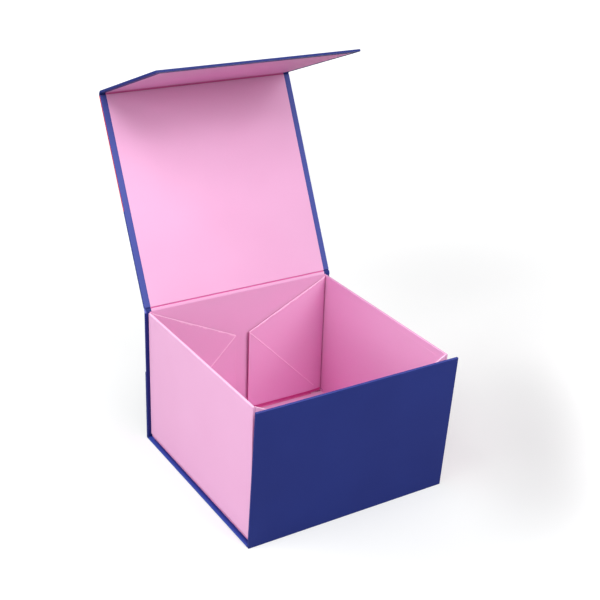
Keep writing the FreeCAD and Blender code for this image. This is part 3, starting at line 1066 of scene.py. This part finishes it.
def join_into(piece: Object, extra: Object) -> None:
    """Add another object's mesh to a piece's mesh.

    Args:
        piece: The piece that stays.
        extra: The object whose mesh is added, and which is then removed.
    """
    with bpy.context.temp_override(active_object=piece, object=piece,
                                   selected_editable_objects=[piece, extra],
                                   selected_objects=[piece, extra]):
        bpy.ops.object.join()


# ---- Sub-assemblies ----


@dataclass
class CasePanel:
    """One wrapped panel of the case: a blue cover round its board, and a pink lining.

    Attributes:
        name: First word of its nodes' names.
        body: Body that it rides on.
        place: Its own axes.
        start: Where it starts, from its fold line.
        end: Where it ends.
        outer: Level of its outside face.
        side_margin: Cover paper turned in at its sides.
        end_margin: Cover paper turned in at its far end, 0 at a fold.
        crown: How far its middle stands towards the inside.
        printed_from: Share of its length where its plain printed field starts, or None.
        cover_finish: Finish of its cover.
        highlit_sides: Whether the cover has the painted edge highlight along its sides.
        highlit_end: Whether the cover has the painted edge highlight along its far end.
        rounding: Radius along the cover's edges.
        lining_recess: How far the cover's inside lies below the lining's.
        lining_rounding: Radius along the lining's edges.
    """

    name: str
    body: Body
    place: Place
    start: float
    end: float
    outer: float
    side_margin: float
    end_margin: float
    crown: float = 0.12 * MM
    printed_from: float | None = None
    cover_finish: Cover = Cover.PLAIN
    highlit_sides: bool = False
    highlit_end: bool = True
    rounding: float = 0.58 * MM
    lining_recess: float = 0.1 * MM
    lining_rounding: float = 0.1 * MM

    def build(self, sheets: SheetMaker, finishes: Finishes) -> list[Object]:
        """Make the cover and the lining.

        Args:
            sheets: Maker of flat sheets.
            finishes: The box's materials.

        Returns:
            The two pieces.
        """
        matrix = self.place.matrix()
        crown = dict(Crown=self.crown, Crown_Width=2.0 * PLAN.half_width, Crown_Length=self.end)
        # A shift of 0 lets the painted edge highlight reach those edges
        cover = sheets.make(f"{self.name}_cover_skin", matrix,
                            getattr(finishes, self.cover_finish.value), self.rounding,
                            Width=2.0 * PLAN.half_width, Length=self.end - self.start,
                            Thickness=PLAN.panel - self.lining_recess, Start=self.start,
                            Level=self.outer, Side_Shift=0.0 if self.highlit_sides else NO_HIGHLIGHT,
                            End_Shift=0.0 if self.highlit_end else NO_HIGHLIGHT, **crown)
        if self.printed_from is not None:
            self._print_field(cover)
        lining = sheets.make(f"{self.name}_lining_skin", matrix, finishes.pink,
                             self.lining_rounding,
                             Width=2.0 * (PLAN.half_width - self.side_margin),
                             Length=self.end - self.end_margin - self.start,
                             Thickness=PLAN.paper, Start=self.start,
                             Level=self.outer + PLAN.panel - PLAN.paper, Side_Shift=NO_HIGHLIGHT,
                             End_Shift=NO_HIGHLIGHT, **crown)
        for piece, node, slot in ((cover, "cover", Slot.BLUE_PAPER),
                                  (lining, "lining", Slot.PINK_PAPER)):
            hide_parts(f"{self.name}_{node}")
            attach(piece, self.body.value)
        return [cover, lining]

    def _print_field(self, cover: Object) -> None:
        """Mark the outside's plain printed field, and keep the painted edge highlight to the inside.

        Args:
            cover: The cover, whose attributes are set.
        """
        mesh = cover.data
        printed = mesh.attributes.new("printed_field", "FLOAT", "POINT")
        distance = mesh.attributes["edge_distance"]
        back = self.place.matrix().inverted()
        from_here = self.start + self.printed_from * (self.end - self.start)
        for vertex in mesh.vertices:
            own = back @ vertex.co
            outside = own.z < self.outer + PLAN.panel - self.rounding / 2.0
            printed.data[vertex.index].value = float(outside and own.y > from_here)
            if outside:
                distance.data[vertex.index].value = NO_HIGHLIGHT


@dataclass
class LapPanel:
    """Second panel that the case's cover lays over the lower half of the back.

    Attributes:
        thickness: Its thickness.
        rounding: Radius along its edges.
    """

    thickness: float = 1.2 * MM
    rounding: float = 0.5 * MM

    def build(self, sheets: SheetMaker, finishes: Finishes) -> Object:
        """Make the lap panel.

        Args:
            sheets: Maker of flat sheets.
            finishes: The box's materials.

        Returns:
            The piece.
        """
        # Its top edge takes the blue's painted edge highlight
        lap = sheets.make("back_lap_skin", PLAN.back_place.matrix(), finishes.blue, self.rounding,
                          Width=2.0 * PLAN.half_width, Length=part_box("back_lap_panel")[HIGH][Z],
                          Thickness=self.thickness, Start=0.0, Level=-self.thickness, Crown=0.0,
                          Side_Shift=NO_HIGHLIGHT)
        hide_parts("back_lap_panel")
        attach(lap, Body.TRAY.value)
        return lap


@dataclass
class SideWall:
    """Side wall: a pink wrap round its board, a lining on its inside and a hinge at its foot.

    Attributes:
        side: First word of its nodes' names.
        sign: -1 at the left, 1 at the right.
        highlit_top: Whether the wrap has the painted highlight along its top edge.
        rounding: Radius along the wrap's edges.
        lining_recess: How far the wrap's inside lies below the lining's.
        lining_rounding: Radius along the lining's edges.
        crown: How far its middle stands towards the inside.
    """

    side: str
    sign: int
    highlit_top: bool = True
    rounding: float = 0.58 * MM
    lining_recess: float = 0.1 * MM
    lining_rounding: float = 0.1 * MM
    crown: float = 0.12 * MM

    @property
    def depth(self) -> float:
        """Its length, front to back."""
        return PLAN.inner_back - PLAN.base_front

    def matrix(self) -> Matrix:
        """Matrix from the wall's own axes to the frame's: X runs from front to back.

        Returns:
            The matrix.
        """
        middle = (PLAN.base_front + PLAN.inner_back) / 2.0
        upright = Matrix.Rotation(QUARTER, 4, "X")
        turned = Matrix.Rotation(-self.sign * QUARTER, 4, "Z") @ upright
        return Matrix.Translation((self.sign * PLAN.tray_half, middle, PLAN.wall_foot)) @ turned

    def build(self, sheets: SheetMaker, finishes: Finishes) -> list[Object]:
        """Make the wrap, the lining and the hinge.

        Args:
            sheets: Maker of flat sheets.
            finishes: The box's materials.

        Returns:
            The three pieces.
        """
        height = PLAN.wall_top - PLAN.wall_foot
        crown = dict(Crown=self.crown, Crown_Width=self.depth, Crown_Length=height)
        # The wrap's top edge takes the painted highlight when highlit_top is set
        wrap = sheets.make(f"{self.side}_wall_skin", self.matrix(), finishes.pink, self.rounding,
                           Width=self.depth, Length=height, Start=0.0, Level=0.0,
                           Thickness=PLAN.wall - self.lining_recess, Side_Shift=NO_HIGHLIGHT,
                           End_Shift=0.0 if self.highlit_top else NO_HIGHLIGHT, **crown)
        lining = sheets.make(f"{self.side}_wall_lining_skin", self.matrix(), finishes.pink,
                             self.lining_rounding, Width=self.depth - 2.0 * PLAN.turn_in,
                             Length=height - PLAN.turn_in, Start=0.0,
                             Level=PLAN.wall - PLAN.paper, Thickness=PLAN.paper,
                             Side_Shift=NO_HIGHLIGHT, End_Shift=NO_HIGHLIGHT, **crown)
        hinge = self._foot_hinge(sheets, finishes)
        for piece, node in ((wrap, "wrap"), (lining, "lining"), (hinge, "hinge")):
            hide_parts(f"{self.side}_wall_{node}")
            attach(piece, Body.TRAY.value)
        return [wrap, lining, hinge]

    def _foot_hinge(self, sheets: SheetMaker, finishes: Finishes) -> Object:
        """Paper that holds the wall's foot to the base lining, from corner to corner.

        Args:
            sheets: Maker of flat sheets.
            finishes: The box's materials.

        Returns:
            The hinge, web and flange in one mesh.
        """
        low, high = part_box(f"{self.side}_wall_hinge")
        plain = dict(Width=self.depth, Thickness=PLAN.paper, Side_Shift=NO_HIGHLIGHT, End_Shift=NO_HIGHLIGHT)
        name = f"{self.side}_wall_hinge_skin"
        level = PLAN.wall - PLAN.paper / 2.0
        web = sheets.make(name, self.matrix(), finishes.pink, PAPER_ROUNDING, Level=level,
                          Start=low[Z] - PLAN.wall_foot, Length=high[Z] - low[Z], **plain)
        across = self.matrix() @ Matrix.Rotation(QUARTER, 4, "X")
        flange = sheets.make(f"{name}_flange", across, finishes.pink, PAPER_ROUNDING,
                             Start=level, Length=high[X] - low[X],
                             Level=PLAN.wall_foot - low[Z] - PLAN.paper, **plain)
        join_into(web, flange)
        return web


@dataclass
class Gusset:
    """Creased card that joins a side wall to the back or the front panel.

    The crease starts at the wall's foot and climbs at 45 degrees to the free edge, so that the
    corner folds flat when the side wall is pushed in.

    Attributes:
        side: First word of its nodes' names.
        sign: -1 at the left, 1 at the right.
        free_edge: Distance of its free edge from the middle of the box.
        vertex_drop: Height of the point where the folds meet, below the foot of the card.
        crease_width: Width of the crease's ridge.
        crease_height: How far the ridge stands out of the card.
        crease_start: How far in from the crease's foot its ridge starts.
        crease_sink: How far below the crease its ridge starts.
        crease_end: How far short of the free edge its ridge ends.
        spacing: Largest spacing of the card's points.
        rounding: Radius along the card's edges.
    """

    side: str
    sign: int
    free_edge: float = 7.5 * MM
    vertex_drop: float = 1.5 * MM
    crease_width: float = 1.2 * MM
    crease_height: float = 0.22 * MM
    crease_start: float = 1.5 * MM
    crease_sink: float = 0.0
    crease_end: float = 1.0 * MM
    spacing: float = 7.0 * MM
    rounding: float = 0.3 * MM

    @property
    def crease_top(self) -> float:
        """Height of the crease at the free edge."""
        return PLAN.wall_foot - self.vertex_drop + PLAN.wall_inside - self.free_edge

    @property
    def crease_foot(self) -> float:
        """Distance of the crease's foot from the middle of the box."""
        return PLAN.wall_inside - self.vertex_drop

    def standing(self, y: float, points: Sequence[tuple[float, float]]) -> list[Vector]:
        """Points across the box at that Y, from their distance from its middle and their Z."""
        return [Vector((self.sign * x, y, z)) for x, z in points]

    def relief(self, point: Vector) -> Vector:
        """Displacement of a point of the flat card."""
        raise NotImplementedError

    def press_crease(self, card: Object, face: float, creases: CreaseMaker,
                     finishes: Finishes) -> None:
        """Raise the crease on the card, following its relief.

        Args:
            card: The card.
            face: Y of its flat front face.
            creases: Maker of crease ridges.
            finishes: The box's materials.
        """
        foot, top = self.standing(face, [
            (self.crease_foot - self.crease_start,
             PLAN.wall_foot + self.crease_start - self.crease_sink),
            (self.free_edge + self.crease_end, self.crease_top - self.crease_end)])
        points = [foot.lerp(top, index / CREASE_STEPS) for index in range(CREASE_STEPS + 1)]
        line = [point + self.relief(point) for point in points]
        # The ridge has no edge_distance, so the card's painted highlight colour covers it
        ridge = creases.make(f"{card.name}_crease", line, finishes.card, Width=self.crease_width,
                             Height=self.crease_height)
        join_into(card, ridge)


@dataclass
class RearGusset(Gusset):
    """Gusset that lies against the back panel, with the paper that holds it in the corner.

    Attributes:
        stand_off: Gap between the back panel and the paper behind the card.
        side_gap: Gap between the card and the side wall.
        foot_lift: Height of the card's foot over the wall's.
        root: How far the card stands off at the side wall.
        bulge: How much further it stands off away from the wall.
        bulge_reach: Distance in which most of that rise happens.
        spring: How far the card bends forward along its crease.
        spring_reach: Distance from the crease in which that bend fades.
        web: Thickness of the papers.
        web_inset: How far the paper behind the card stops short of its free edges.
        painted_shade_strip_depth: Depth of the strip on the base, a deeper pink that paints the
        shade under the card's foot.
    """

    crease_start: float = 9.0 * MM
    crease_sink: float = 1.5 * MM
    stand_off: float = 0.02 * MM
    side_gap: float = 0.9 * MM
    foot_lift: float = 1.9 * MM
    root: float = 0.5 * MM
    bulge: float = 1.5 * MM
    bulge_reach: float = 7.0 * MM
    spring: float = 0.5 * MM
    spring_reach: float = 45.0 * MM
    web: float = 0.25 * MM
    web_inset: float = 1.5 * MM
    painted_shade_strip_depth: float = 2.7 * MM

    def build(self, creases: CreaseMaker, finishes: Finishes) -> Object:
        """Make the card with its crease, and its papers.

        Args:
            creases: Maker of crease ridges.
            finishes: The box's materials.

        Returns:
            The piece.
        """
        back = PLAN.inner_back - self.stand_off
        side, foot = PLAN.wall_inside - self.side_gap, PLAN.wall_foot + self.foot_lift
        slope = (PLAN.wall_top - self.crease_top) / (PLAN.wall_inside - self.free_edge)
        outline = self.standing(back, [
            (side, foot), (self.free_edge, foot), (self.free_edge, self.crease_top),
            (side, PLAN.wall_top - slope * self.side_gap)])
        # Top edge: painted highlight; foot, free edge and wall side: painted shade
        card = card_mesh(f"{self.side}_rear_gusset_skin", outline,
                         Vector((0.0, -PLAN.gusset, 0.0)), self.spacing, self.relief,
                         finishes.card, self.rounding, highlit=(2,), shaded=(0, 1, 3),
                         shade=finishes.fold)
        self.press_crease(card, back - PLAN.gusset, creases, finishes)
        # Paper behind the card, in painted shade pink, shows in the gaps round the card
        inner, inset = self.free_edge + self.web_inset, self.web_inset
        backing = self.standing(back, [
            (PLAN.wall_inside, PLAN.panel), (inner, PLAN.panel), (inner, self.crease_top - inset),
            (PLAN.wall_inside, PLAN.wall_top - inset)])
        join_into(card, plain_sheet(f"{card.name}_web", backing, Vector((0.0, -self.web, 0.0)),
                                    finishes.fold))
        # Strip on the base under the card's foot, in the painted shade pink
        front = back - self.painted_shade_strip_depth
        resting = [Vector((self.sign * x, y, PLAN.panel))
                   for x, y in ((PLAN.wall_inside, back), (self.free_edge, back),
                                (self.free_edge, front), (PLAN.wall_inside, front))]
        join_into(card, plain_sheet(f"{card.name}_sill", resting, Vector((0.0, 0.0, self.web)),
                                    finishes.fold))
        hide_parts(f"{self.side}_rear_gusset")
        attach(card, Body.TRAY.value)
        return card

    def relief(self, point: Vector) -> Vector:
        """Stand the card off the back panel, more so at its crease and less at the wall.

        Args:
            point: Point of the flat card.

        Returns:
            Its displacement.
        """
        inward = PLAN.wall_inside - self.side_gap - abs(point.x)
        grown = 1.0 - math.exp(-max(inward, 0.0) / self.bulge_reach)
        above = (self.crease_foot - abs(point.x)) - (point.z - PLAN.wall_foot)
        fade = max(0.0, 1.0 - abs(above) / math.sqrt(2.0) / self.spring_reach)
        return Vector((0.0, -(self.root + (self.bulge + self.spring * fade) * grown), 0.0))


@dataclass
class FrontGusset(Gusset):
    """Gusset that spans from a side wall to the front panel, which leans out from it.

    Attributes:
        stand_off: Gap between the card and the front panel.
    """

    stand_off: float = 0.2 * MM

    def build(self, creases: CreaseMaker, finishes: Finishes) -> Object:
        """Make the card with its crease, bending between the tray and the front panel.

        Args:
            creases: Maker of crease ridges.
            finishes: The box's materials.

        Returns:
            The piece.
        """
        wall_front = PLAN.base_front
        outline = self.standing(wall_front, [
            (PLAN.wall_inside, PLAN.wall_foot), (self.free_edge, PLAN.wall_foot),
            (self.free_edge, self.crease_top), (PLAN.wall_inside, PLAN.wall_top)])
        # The slanted top edge, side 2, takes the painted highlight
        card = card_mesh(f"{self.side}_front_gusset_skin", outline,
                         Vector((0.0, PLAN.gusset, 0.0)), self.spacing, self.relief,
                         finishes.card, self.rounding, highlit=(2,))
        self.press_crease(card, wall_front + PLAN.gusset, creases, finishes)
        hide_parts(f"{self.side}_front_gusset_upper", f"{self.side}_front_gusset_lower")
        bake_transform(card)
        return card

    def relief(self, point: Vector) -> Vector:
        """Lean the card out, from the wall's edge to the front panel behind its crease.

        Args:
            point: Point of the flat card.

        Returns:
            Its displacement.
        """
        place = PLAN.front_place
        ((panel_face, _),) = place.line((0.0, PLAN.panel))
        lean = math.tan(math.radians(90.0 - place.turn))
        leaning = panel_face + self.stand_off - PLAN.base_front - point.z * lean
        height = point.z - PLAN.wall_foot
        inward = PLAN.wall_inside - abs(point.x)
        share = 1.0 if height <= 0.0 else min(1.0, inward / max(height, 1e-9))
        return Vector((0.0, min(0.0, leaning) * share, 0.0))


@dataclass
class PaperHinges:
    """The two strips of glued paper that the lid and the flap turn on.

    Attributes:
        overlap: How far a strip reaches into the panels that it joins.
        groove_width: Width of the groove over the lid's crease.
        groove_depth: Depth of both grooves.
        stand_off: Gap between the back panel and the strip's inside face.
        shoulder: Depth of its outside face at the back panel's top edge.
        root: Depth of its outside face at its end in the back panel.
        inside: Section of its inside face over the lid: along the lid in half groove widths, and
            down in groove depths.
        outside: Section of its outside face over the lid, in the same measures.
        bend_below: How far below the lid's crease the strip would start to turn with the lid;
        not used.
        bend_before: Distance before the lid's end of a bend point that is worked out but not used.
        bend_after: Distance into the flap of the other bend point, worked out but not used.
    """

    overlap: float = 0.9 * MM
    groove_width: float = 1.6 * MM
    groove_depth: float = 1.0 * MM
    stand_off: float = 0.02 * MM
    shoulder: float = 1.3 * MM
    root: float = 1.6 * MM
    inside: Section = ((-2.0, 0.0), (-1.0, 0.1), (-0.6, 1.0), (0.2, 1.0))
    outside: Section = ((-3.0, 1.9), (-1.0, 1.8), (-0.6, 1.7), (0.2, 1.7))
    bend_below: float = 1.0 * MM
    bend_before: float = 0.3 * MM
    bend_after: float = 0.2 * MM

    def build(self, finishes: Finishes) -> list[Object]:
        """Make both strips."""
        return [self._lid_hinge(finishes), self._flap_hinge(finishes)]

    def _lid_hinge(self, finishes: Finishes) -> Object:
        """Strip between the back panel's top edge and the lid.

        Args:
            finishes: The box's materials.

        Returns:
            The strip.
        """
        lid = PLAN.lid_place
        y, top, low = PLAN.inner_back, PLAN.back_height, PLAN.back_height - self.overlap
        half, deep = 0.5 * self.groove_width, -self.groove_depth
        over_lid = [lid.line(*((half * along, deep * down) for along, down in section),
                             (self.overlap, deep * section[-1][1]))
                    for section in (self.inside, self.outside)]
        inner = [(y + self.stand_off, low), (y + self.stand_off, top), *over_lid[0]]
        outer = [(y + self.root, low), (y + self.shoulder, top), *over_lid[1]]
        # Painted highlight at the strip's blue ends; painted shade in its groove
        strip = strip_mesh("lid_hinge_skin", inner, outer,
                           (finishes.pink, finishes.hinge_highlight_blue, finishes.fold), groove_from=3)
        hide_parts("lid_hinge_paper")
        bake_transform(strip)
        return strip

    def _flap_hinge(self, finishes: Finishes) -> Object:
        """Strip between the lid's end and the flap.

        Args:
            finishes: The box's materials.

        Returns:
            The strip.
        """
        lid, middle, flap = PLAN.lid_place, PLAN.strip_place, PLAN.flap_place
        end, half, deep = PLAN.lid_length, 0.5 * PLAN.hinge_strip, -self.groove_depth
        near, far = end - self.overlap, self.overlap
        inner = [*lid.line((near, deep), (end, deep)), *middle.line((half, 1.1 * deep)),
                 *flap.line((0.0, deep), (far, deep))]
        outer = [*lid.line((near, 1.9 * deep), (end, 1.7 * deep)),
                 *middle.line((half, 1.6 * deep)),
                 *flap.line((0.0, 1.7 * deep), (far, 1.9 * deep))]
        # groove_from=0: the whole inside takes the painted shade pink
        strip = strip_mesh("flap_hinge_skin", inner, outer,
                           (finishes.pink, finishes.blue, finishes.fold), groove_from=0)
        (bend_from,) = lid.line((end - self.bend_before, 0.0))
        (bend_to,) = flap.line((self.bend_after, 0.0))
        start, end = Vector((0.0, *bend_from)), Vector((0.0, *bend_to))
        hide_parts("flap_hinge_paper")
        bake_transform(strip)
        return strip


@dataclass
class GiftBox:
    """The whole box.

    Attributes:
        finishes: Its materials.
        sheets: Maker of flat sheets.
        creases: Maker of crease ridges.
    """

    finishes: Finishes
    sheets: SheetMaker = field(default_factory=SheetMaker)
    creases: CreaseMaker = field(default_factory=CreaseMaker)

    def panels(self) -> list[CasePanel]:
        """The five panels of the case.

        Returns:
            The panels, from the front round to the flap.
        """
        under_wall = PLAN.half_width - PLAN.tray_half + PLAN.wall / 2.0
        gap, hung = PLAN.crease_gap, -PLAN.panel
        return [
            CasePanel("front", Body.FRONT, PLAN.front_place, 0.0, PLAN.front_height, 0.0,
                      under_wall, PLAN.turn_in),
            CasePanel("base", Body.TRAY, Place(0.0, 0.0, 0.0), PLAN.base_front, PLAN.inner_back,
                      0.0, under_wall, 0.0, crown=0.0, highlit_sides=True,
                      cover_finish=Cover.PALE_EDGED),
            CasePanel("back", Body.TRAY, PLAN.back_place, 0.0, PLAN.back_height, 0.0, under_wall,
                      0.0, crown=0.0),
            CasePanel("lid", Body.LID, PLAN.lid_place, gap, PLAN.lid_length - gap, hung,
                      PLAN.turn_in, 0.0, printed_from=0.45, highlit_sides=True, highlit_end=False,
                      cover_finish=Cover.WITH_FIELD),
            CasePanel("flap", Body.FLAP, PLAN.flap_place, gap, PLAN.flap_length, hung,
                      PLAN.turn_in, PLAN.turn_in, highlit_end=False),
        ]

    def build(self) -> list[Object]:
        """Make every piece and dress the CAD nodes that stay shown.

        Returns:
            The pieces.
        """
        pieces = []
        for panel in self.panels():
            pieces += panel.build(self.sheets, self.finishes)
        pieces.append(LapPanel().build(self.sheets, self.finishes))
        for side, sign in (("left", -1), ("right", 1)):
            # Only the left wall, which faces the side lamps, gets the painted highlight on its top edge
            pieces += SideWall(side, sign, highlit_top=sign < 0).build(self.sheets, self.finishes)
            pieces.append(RearGusset(side, sign).build(self.creases, self.finishes))
            pieces.append(FrontGusset(side, sign).build(self.creases, self.finishes))
        pieces += PaperHinges().build(self.finishes)
        self.dress_nodes()
        return pieces

    def dress_nodes(self) -> None:
        """Give every CAD node its finish, on the node's object."""
        for part in frame["record"]["subparts"]:
            finish = self.finishes.for_slot(Slot(part["material_slot"]))
            for slot in frame["nodes"][part["node"]].material_slots:
                slot.link = "OBJECT"
                slot.material = finish


# ---- Studio ----


@dataclass(frozen=True)
class Softbox:
    """One soft rectangular lamp, turned to the middle of the box.

    Attributes:
        name: Its name.
        position: Its place.
        power: Its power in watts.
        colour: Its colour.
        target: What it is turned to.
        width: Its width.
        height: Its height.
    """

    name: str
    position: Point
    power: float
    colour: Rgb = (1.0, 1.0, 1.0)
    target: Point = (0.0, 0.0, 0.14)
    width: float = 1.2
    height: float = 1.0

    def build(self) -> None:
        """Make the lamp."""
        data = bpy.data.lights.new(self.name, "AREA")
        data.shape = "RECTANGLE"
        data.size, data.size_y = self.width, self.height
        data.energy = self.power
        data.color = self.colour
        lamp = new_object(self.name, data)
        lamp.location = self.position
        way = Vector(self.target) - Vector(self.position)
        lamp.rotation_euler = way.to_track_quat("-Z", "Y").to_euler()


@dataclass(frozen=True)
class SoftShadow:
    """A soft round patch of the floor that gets less of the floor's own glow.

    Attributes:
        middle: Its middle on the floor.
        reach: Half its length and half its width.
        turn: Its turn about Z, in degrees.
        depth: Share of the glow that it takes away at its middle.
    """

    middle: Point
    reach: Point
    turn: float
    depth: float

    def kept_light(self, tree: Tree, place: NodeSocket) -> NodeSocket:
        """Share of the glow that is kept at a place.

        Args:
            tree: Material that the nodes go into.
            place: Coordinates on the floor.

        Returns:
            The share, 1 outside the patch.
        """
        own = tree.out("ShaderNodeMapping", {"vector_type": "TEXTURE"}, Vector=place,
                       Location=self.middle, Rotation=(0.0, 0.0, math.radians(self.turn)),
                       Scale=self.reach)
        return tree.ramp(tree.length(own), 0.0, 1.0, 1.0 - self.depth, 1.0)


@dataclass(frozen=True)
class Studio:
    """Pale floor, soft lamps and the camera.

    Attributes:
        eye: Place of the camera.
        heading: Its heading to the right of +Y, in degrees.
        tilt: Its tilt below the horizon.
        roll: Its roll.
        lens: Focal length in millimetres.
        sensor: Width of its sensor in millimetres.
        floor_half: Half the floor's width.
        floor_colour: Colour of the floor without its glow.
        glow: Strength of the floor's own glow round the box.
        contact_share: Share of the glow that is left where the floor meets the box.
        contact_reach: Distance from the box at which the glow is full.
        far_glow: Glow that the floor gains far away.
        far_from: Distance from the box at which that gain starts.
        far_to: Distance from the box at which that gain is full.
        shadows: Patches with less glow.
        fill: Strength of the light from all round.
        lamps: The softboxes.
    """

    eye: Point = (-0.50514, -0.80176, 0.60738)
    heading: float = 32.458
    tilt: float = 24.729
    roll: float = 2.143
    lens: float = 69.19
    sensor: float = 36.0
    floor_half: float = 12.0
    floor_colour: Rgb = (0.5, 0.5, 0.503)
    glow: float = 0.654
    contact_share: float = 0.799
    contact_reach: float = 0.190
    far_glow: float = 0.450
    far_from: float = 0.551
    far_to: float = 2.051
    shadows: tuple[SoftShadow, ...] = (
        SoftShadow((0.231, -0.109, 0.0), (0.255, 0.100, 1.0), 48.9, 0.56),
        SoftShadow((0.033, -0.199, 0.0), (0.107, 0.275, 1.0), 90.8, 0.39),
        SoftShadow((0.389, 0.269, 0.0), (0.392, 0.279, 1.0), 167.2, 0.26),
        SoftShadow((0.144, -0.015, 0.0), (0.477, 0.130, 1.0), 21.8, 0.33),
    )
    fill: float = 0.04
    lamps: tuple[Softbox, ...] = (
        Softbox("side_top_softbox", (-1.163, 0.312, 1.86), 26.0),
        Softbox("side_softbox", (-1.906, -0.511, 0.858), 14.7, COOL),
        Softbox("low_softbox", (-2.021, 0.541, 0.323), 12.3, COOL),
        Softbox("front_softbox", (-0.209, -1.186, 1.86), 18.4),
        Softbox("right_softbox", (0.727, -1.559, 1.345), 28.0),
    )

    def build(self) -> None:
        """Make everything round the box."""
        self._floor()
        self._world()
        for lamp in self.lamps:
            lamp.build()
        self._camera()
        bpy.context.scene.view_settings.view_transform = "Standard"

    def _floor(self) -> None:
        """Pale floor that shows the box's shadow, lifted towards white for the camera alone."""
        mesh = bpy.data.meshes.new("studio_floor")
        half = self.floor_half
        mesh.from_pydata([(-half, -half, 0.0), (half, -half, 0.0), (half, half, 0.0),
                          (-half, half, 0.0)], [], [(0, 1, 2, 3)])
        floor = new_object("studio_floor", mesh)
        material, tree = Tree.of_material("white_sweep")
        diffuse = tree.out("ShaderNodeBsdfDiffuse", Color=(*self.floor_colour, 1.0))
        glow = tree.out("ShaderNodeEmission", Color=WHITE, Strength=self._floor_glow(tree))
        both = tree.out("ShaderNodeAddShader", i0=diffuse, i1=glow)
        seen = tree.add("ShaderNodeLightPath").outputs["Is Camera Ray"]
        lift = tree.out("ShaderNodeMixShader", i0=seen, i1=diffuse, i2=both)
        tree.add("ShaderNodeOutputMaterial", Surface=lift)
        mesh.materials.append(material)

    def _floor_glow(self, tree: Tree) -> NodeSocket:
        """Lift of the floor towards white, less beside the box where its shadows lie.

        Args:
            tree: Tree that the nodes go into.

        Returns:
            Strength of the floor's emission.
        """
        place = tree.place()
        axes = tree.add("ShaderNodeSeparateXYZ", i0=place).outputs
        beyond = [tree.math("MAXIMUM", tree.math("SUBTRACT", tree.math("ABSOLUTE", axis),
                                                 PLAN.half_width), 0.0) for axis in axes[:2]]
        away = tree.length(tree.out("ShaderNodeCombineXYZ", i0=beyond[X], i1=beyond[Y]))
        lift = tree.ramp(away, 0.0, self.contact_reach, self.glow * self.contact_share, self.glow)
        for shadow in self.shadows:
            lift = tree.math("MULTIPLY", lift, shadow.kept_light(tree, place))
        return tree.math("ADD", lift, tree.ramp(away, self.far_from, self.far_to, 0.0,
                                                self.far_glow))

    def _world(self) -> None:
        """White surroundings, dimmer for the light that they give."""
        world = bpy.data.worlds.new("studio")
        bpy.context.scene.world = world
        world.use_nodes = True
        world.node_tree.nodes.clear()
        tree = Tree(world.node_tree)
        path = tree.add("ShaderNodeLightPath").outputs
        shown = tree.math("MAXIMUM", path["Is Camera Ray"], path["Is Transmission Ray"])
        strength = tree.math("MULTIPLY_ADD", shown, 1.0 - self.fill, self.fill)
        light = tree.out("ShaderNodeBackground", Color=WHITE, Strength=strength)
        tree.add("ShaderNodeOutputWorld", Surface=light)

    def _camera(self) -> None:
        """Camera at the box's three-quarter view."""
        data = bpy.data.cameras.new("camera")
        data.sensor_width, data.lens = self.sensor, self.lens
        data.clip_start, data.clip_end = CLIP_RANGE
        camera = new_object("camera", data)
        aim = (Matrix.Rotation(math.radians(-self.heading), 3, "Z")
               @ Matrix.Rotation(math.radians(90.0 - self.tilt), 3, "X")
               @ Matrix.Rotation(math.radians(self.roll), 3, "Z"))
        camera.location = self.eye
        camera.rotation_euler = aim.to_euler()
        bpy.context.scene.camera = camera


def main() -> None:
    """Build the box and its studio."""
    for piece in GiftBox(Finishes()).build():
        LOG.info("%s: %d faces", piece.name, len(piece.data.polygons))
    Studio().build()


if __name__ == "__main__":
    main()
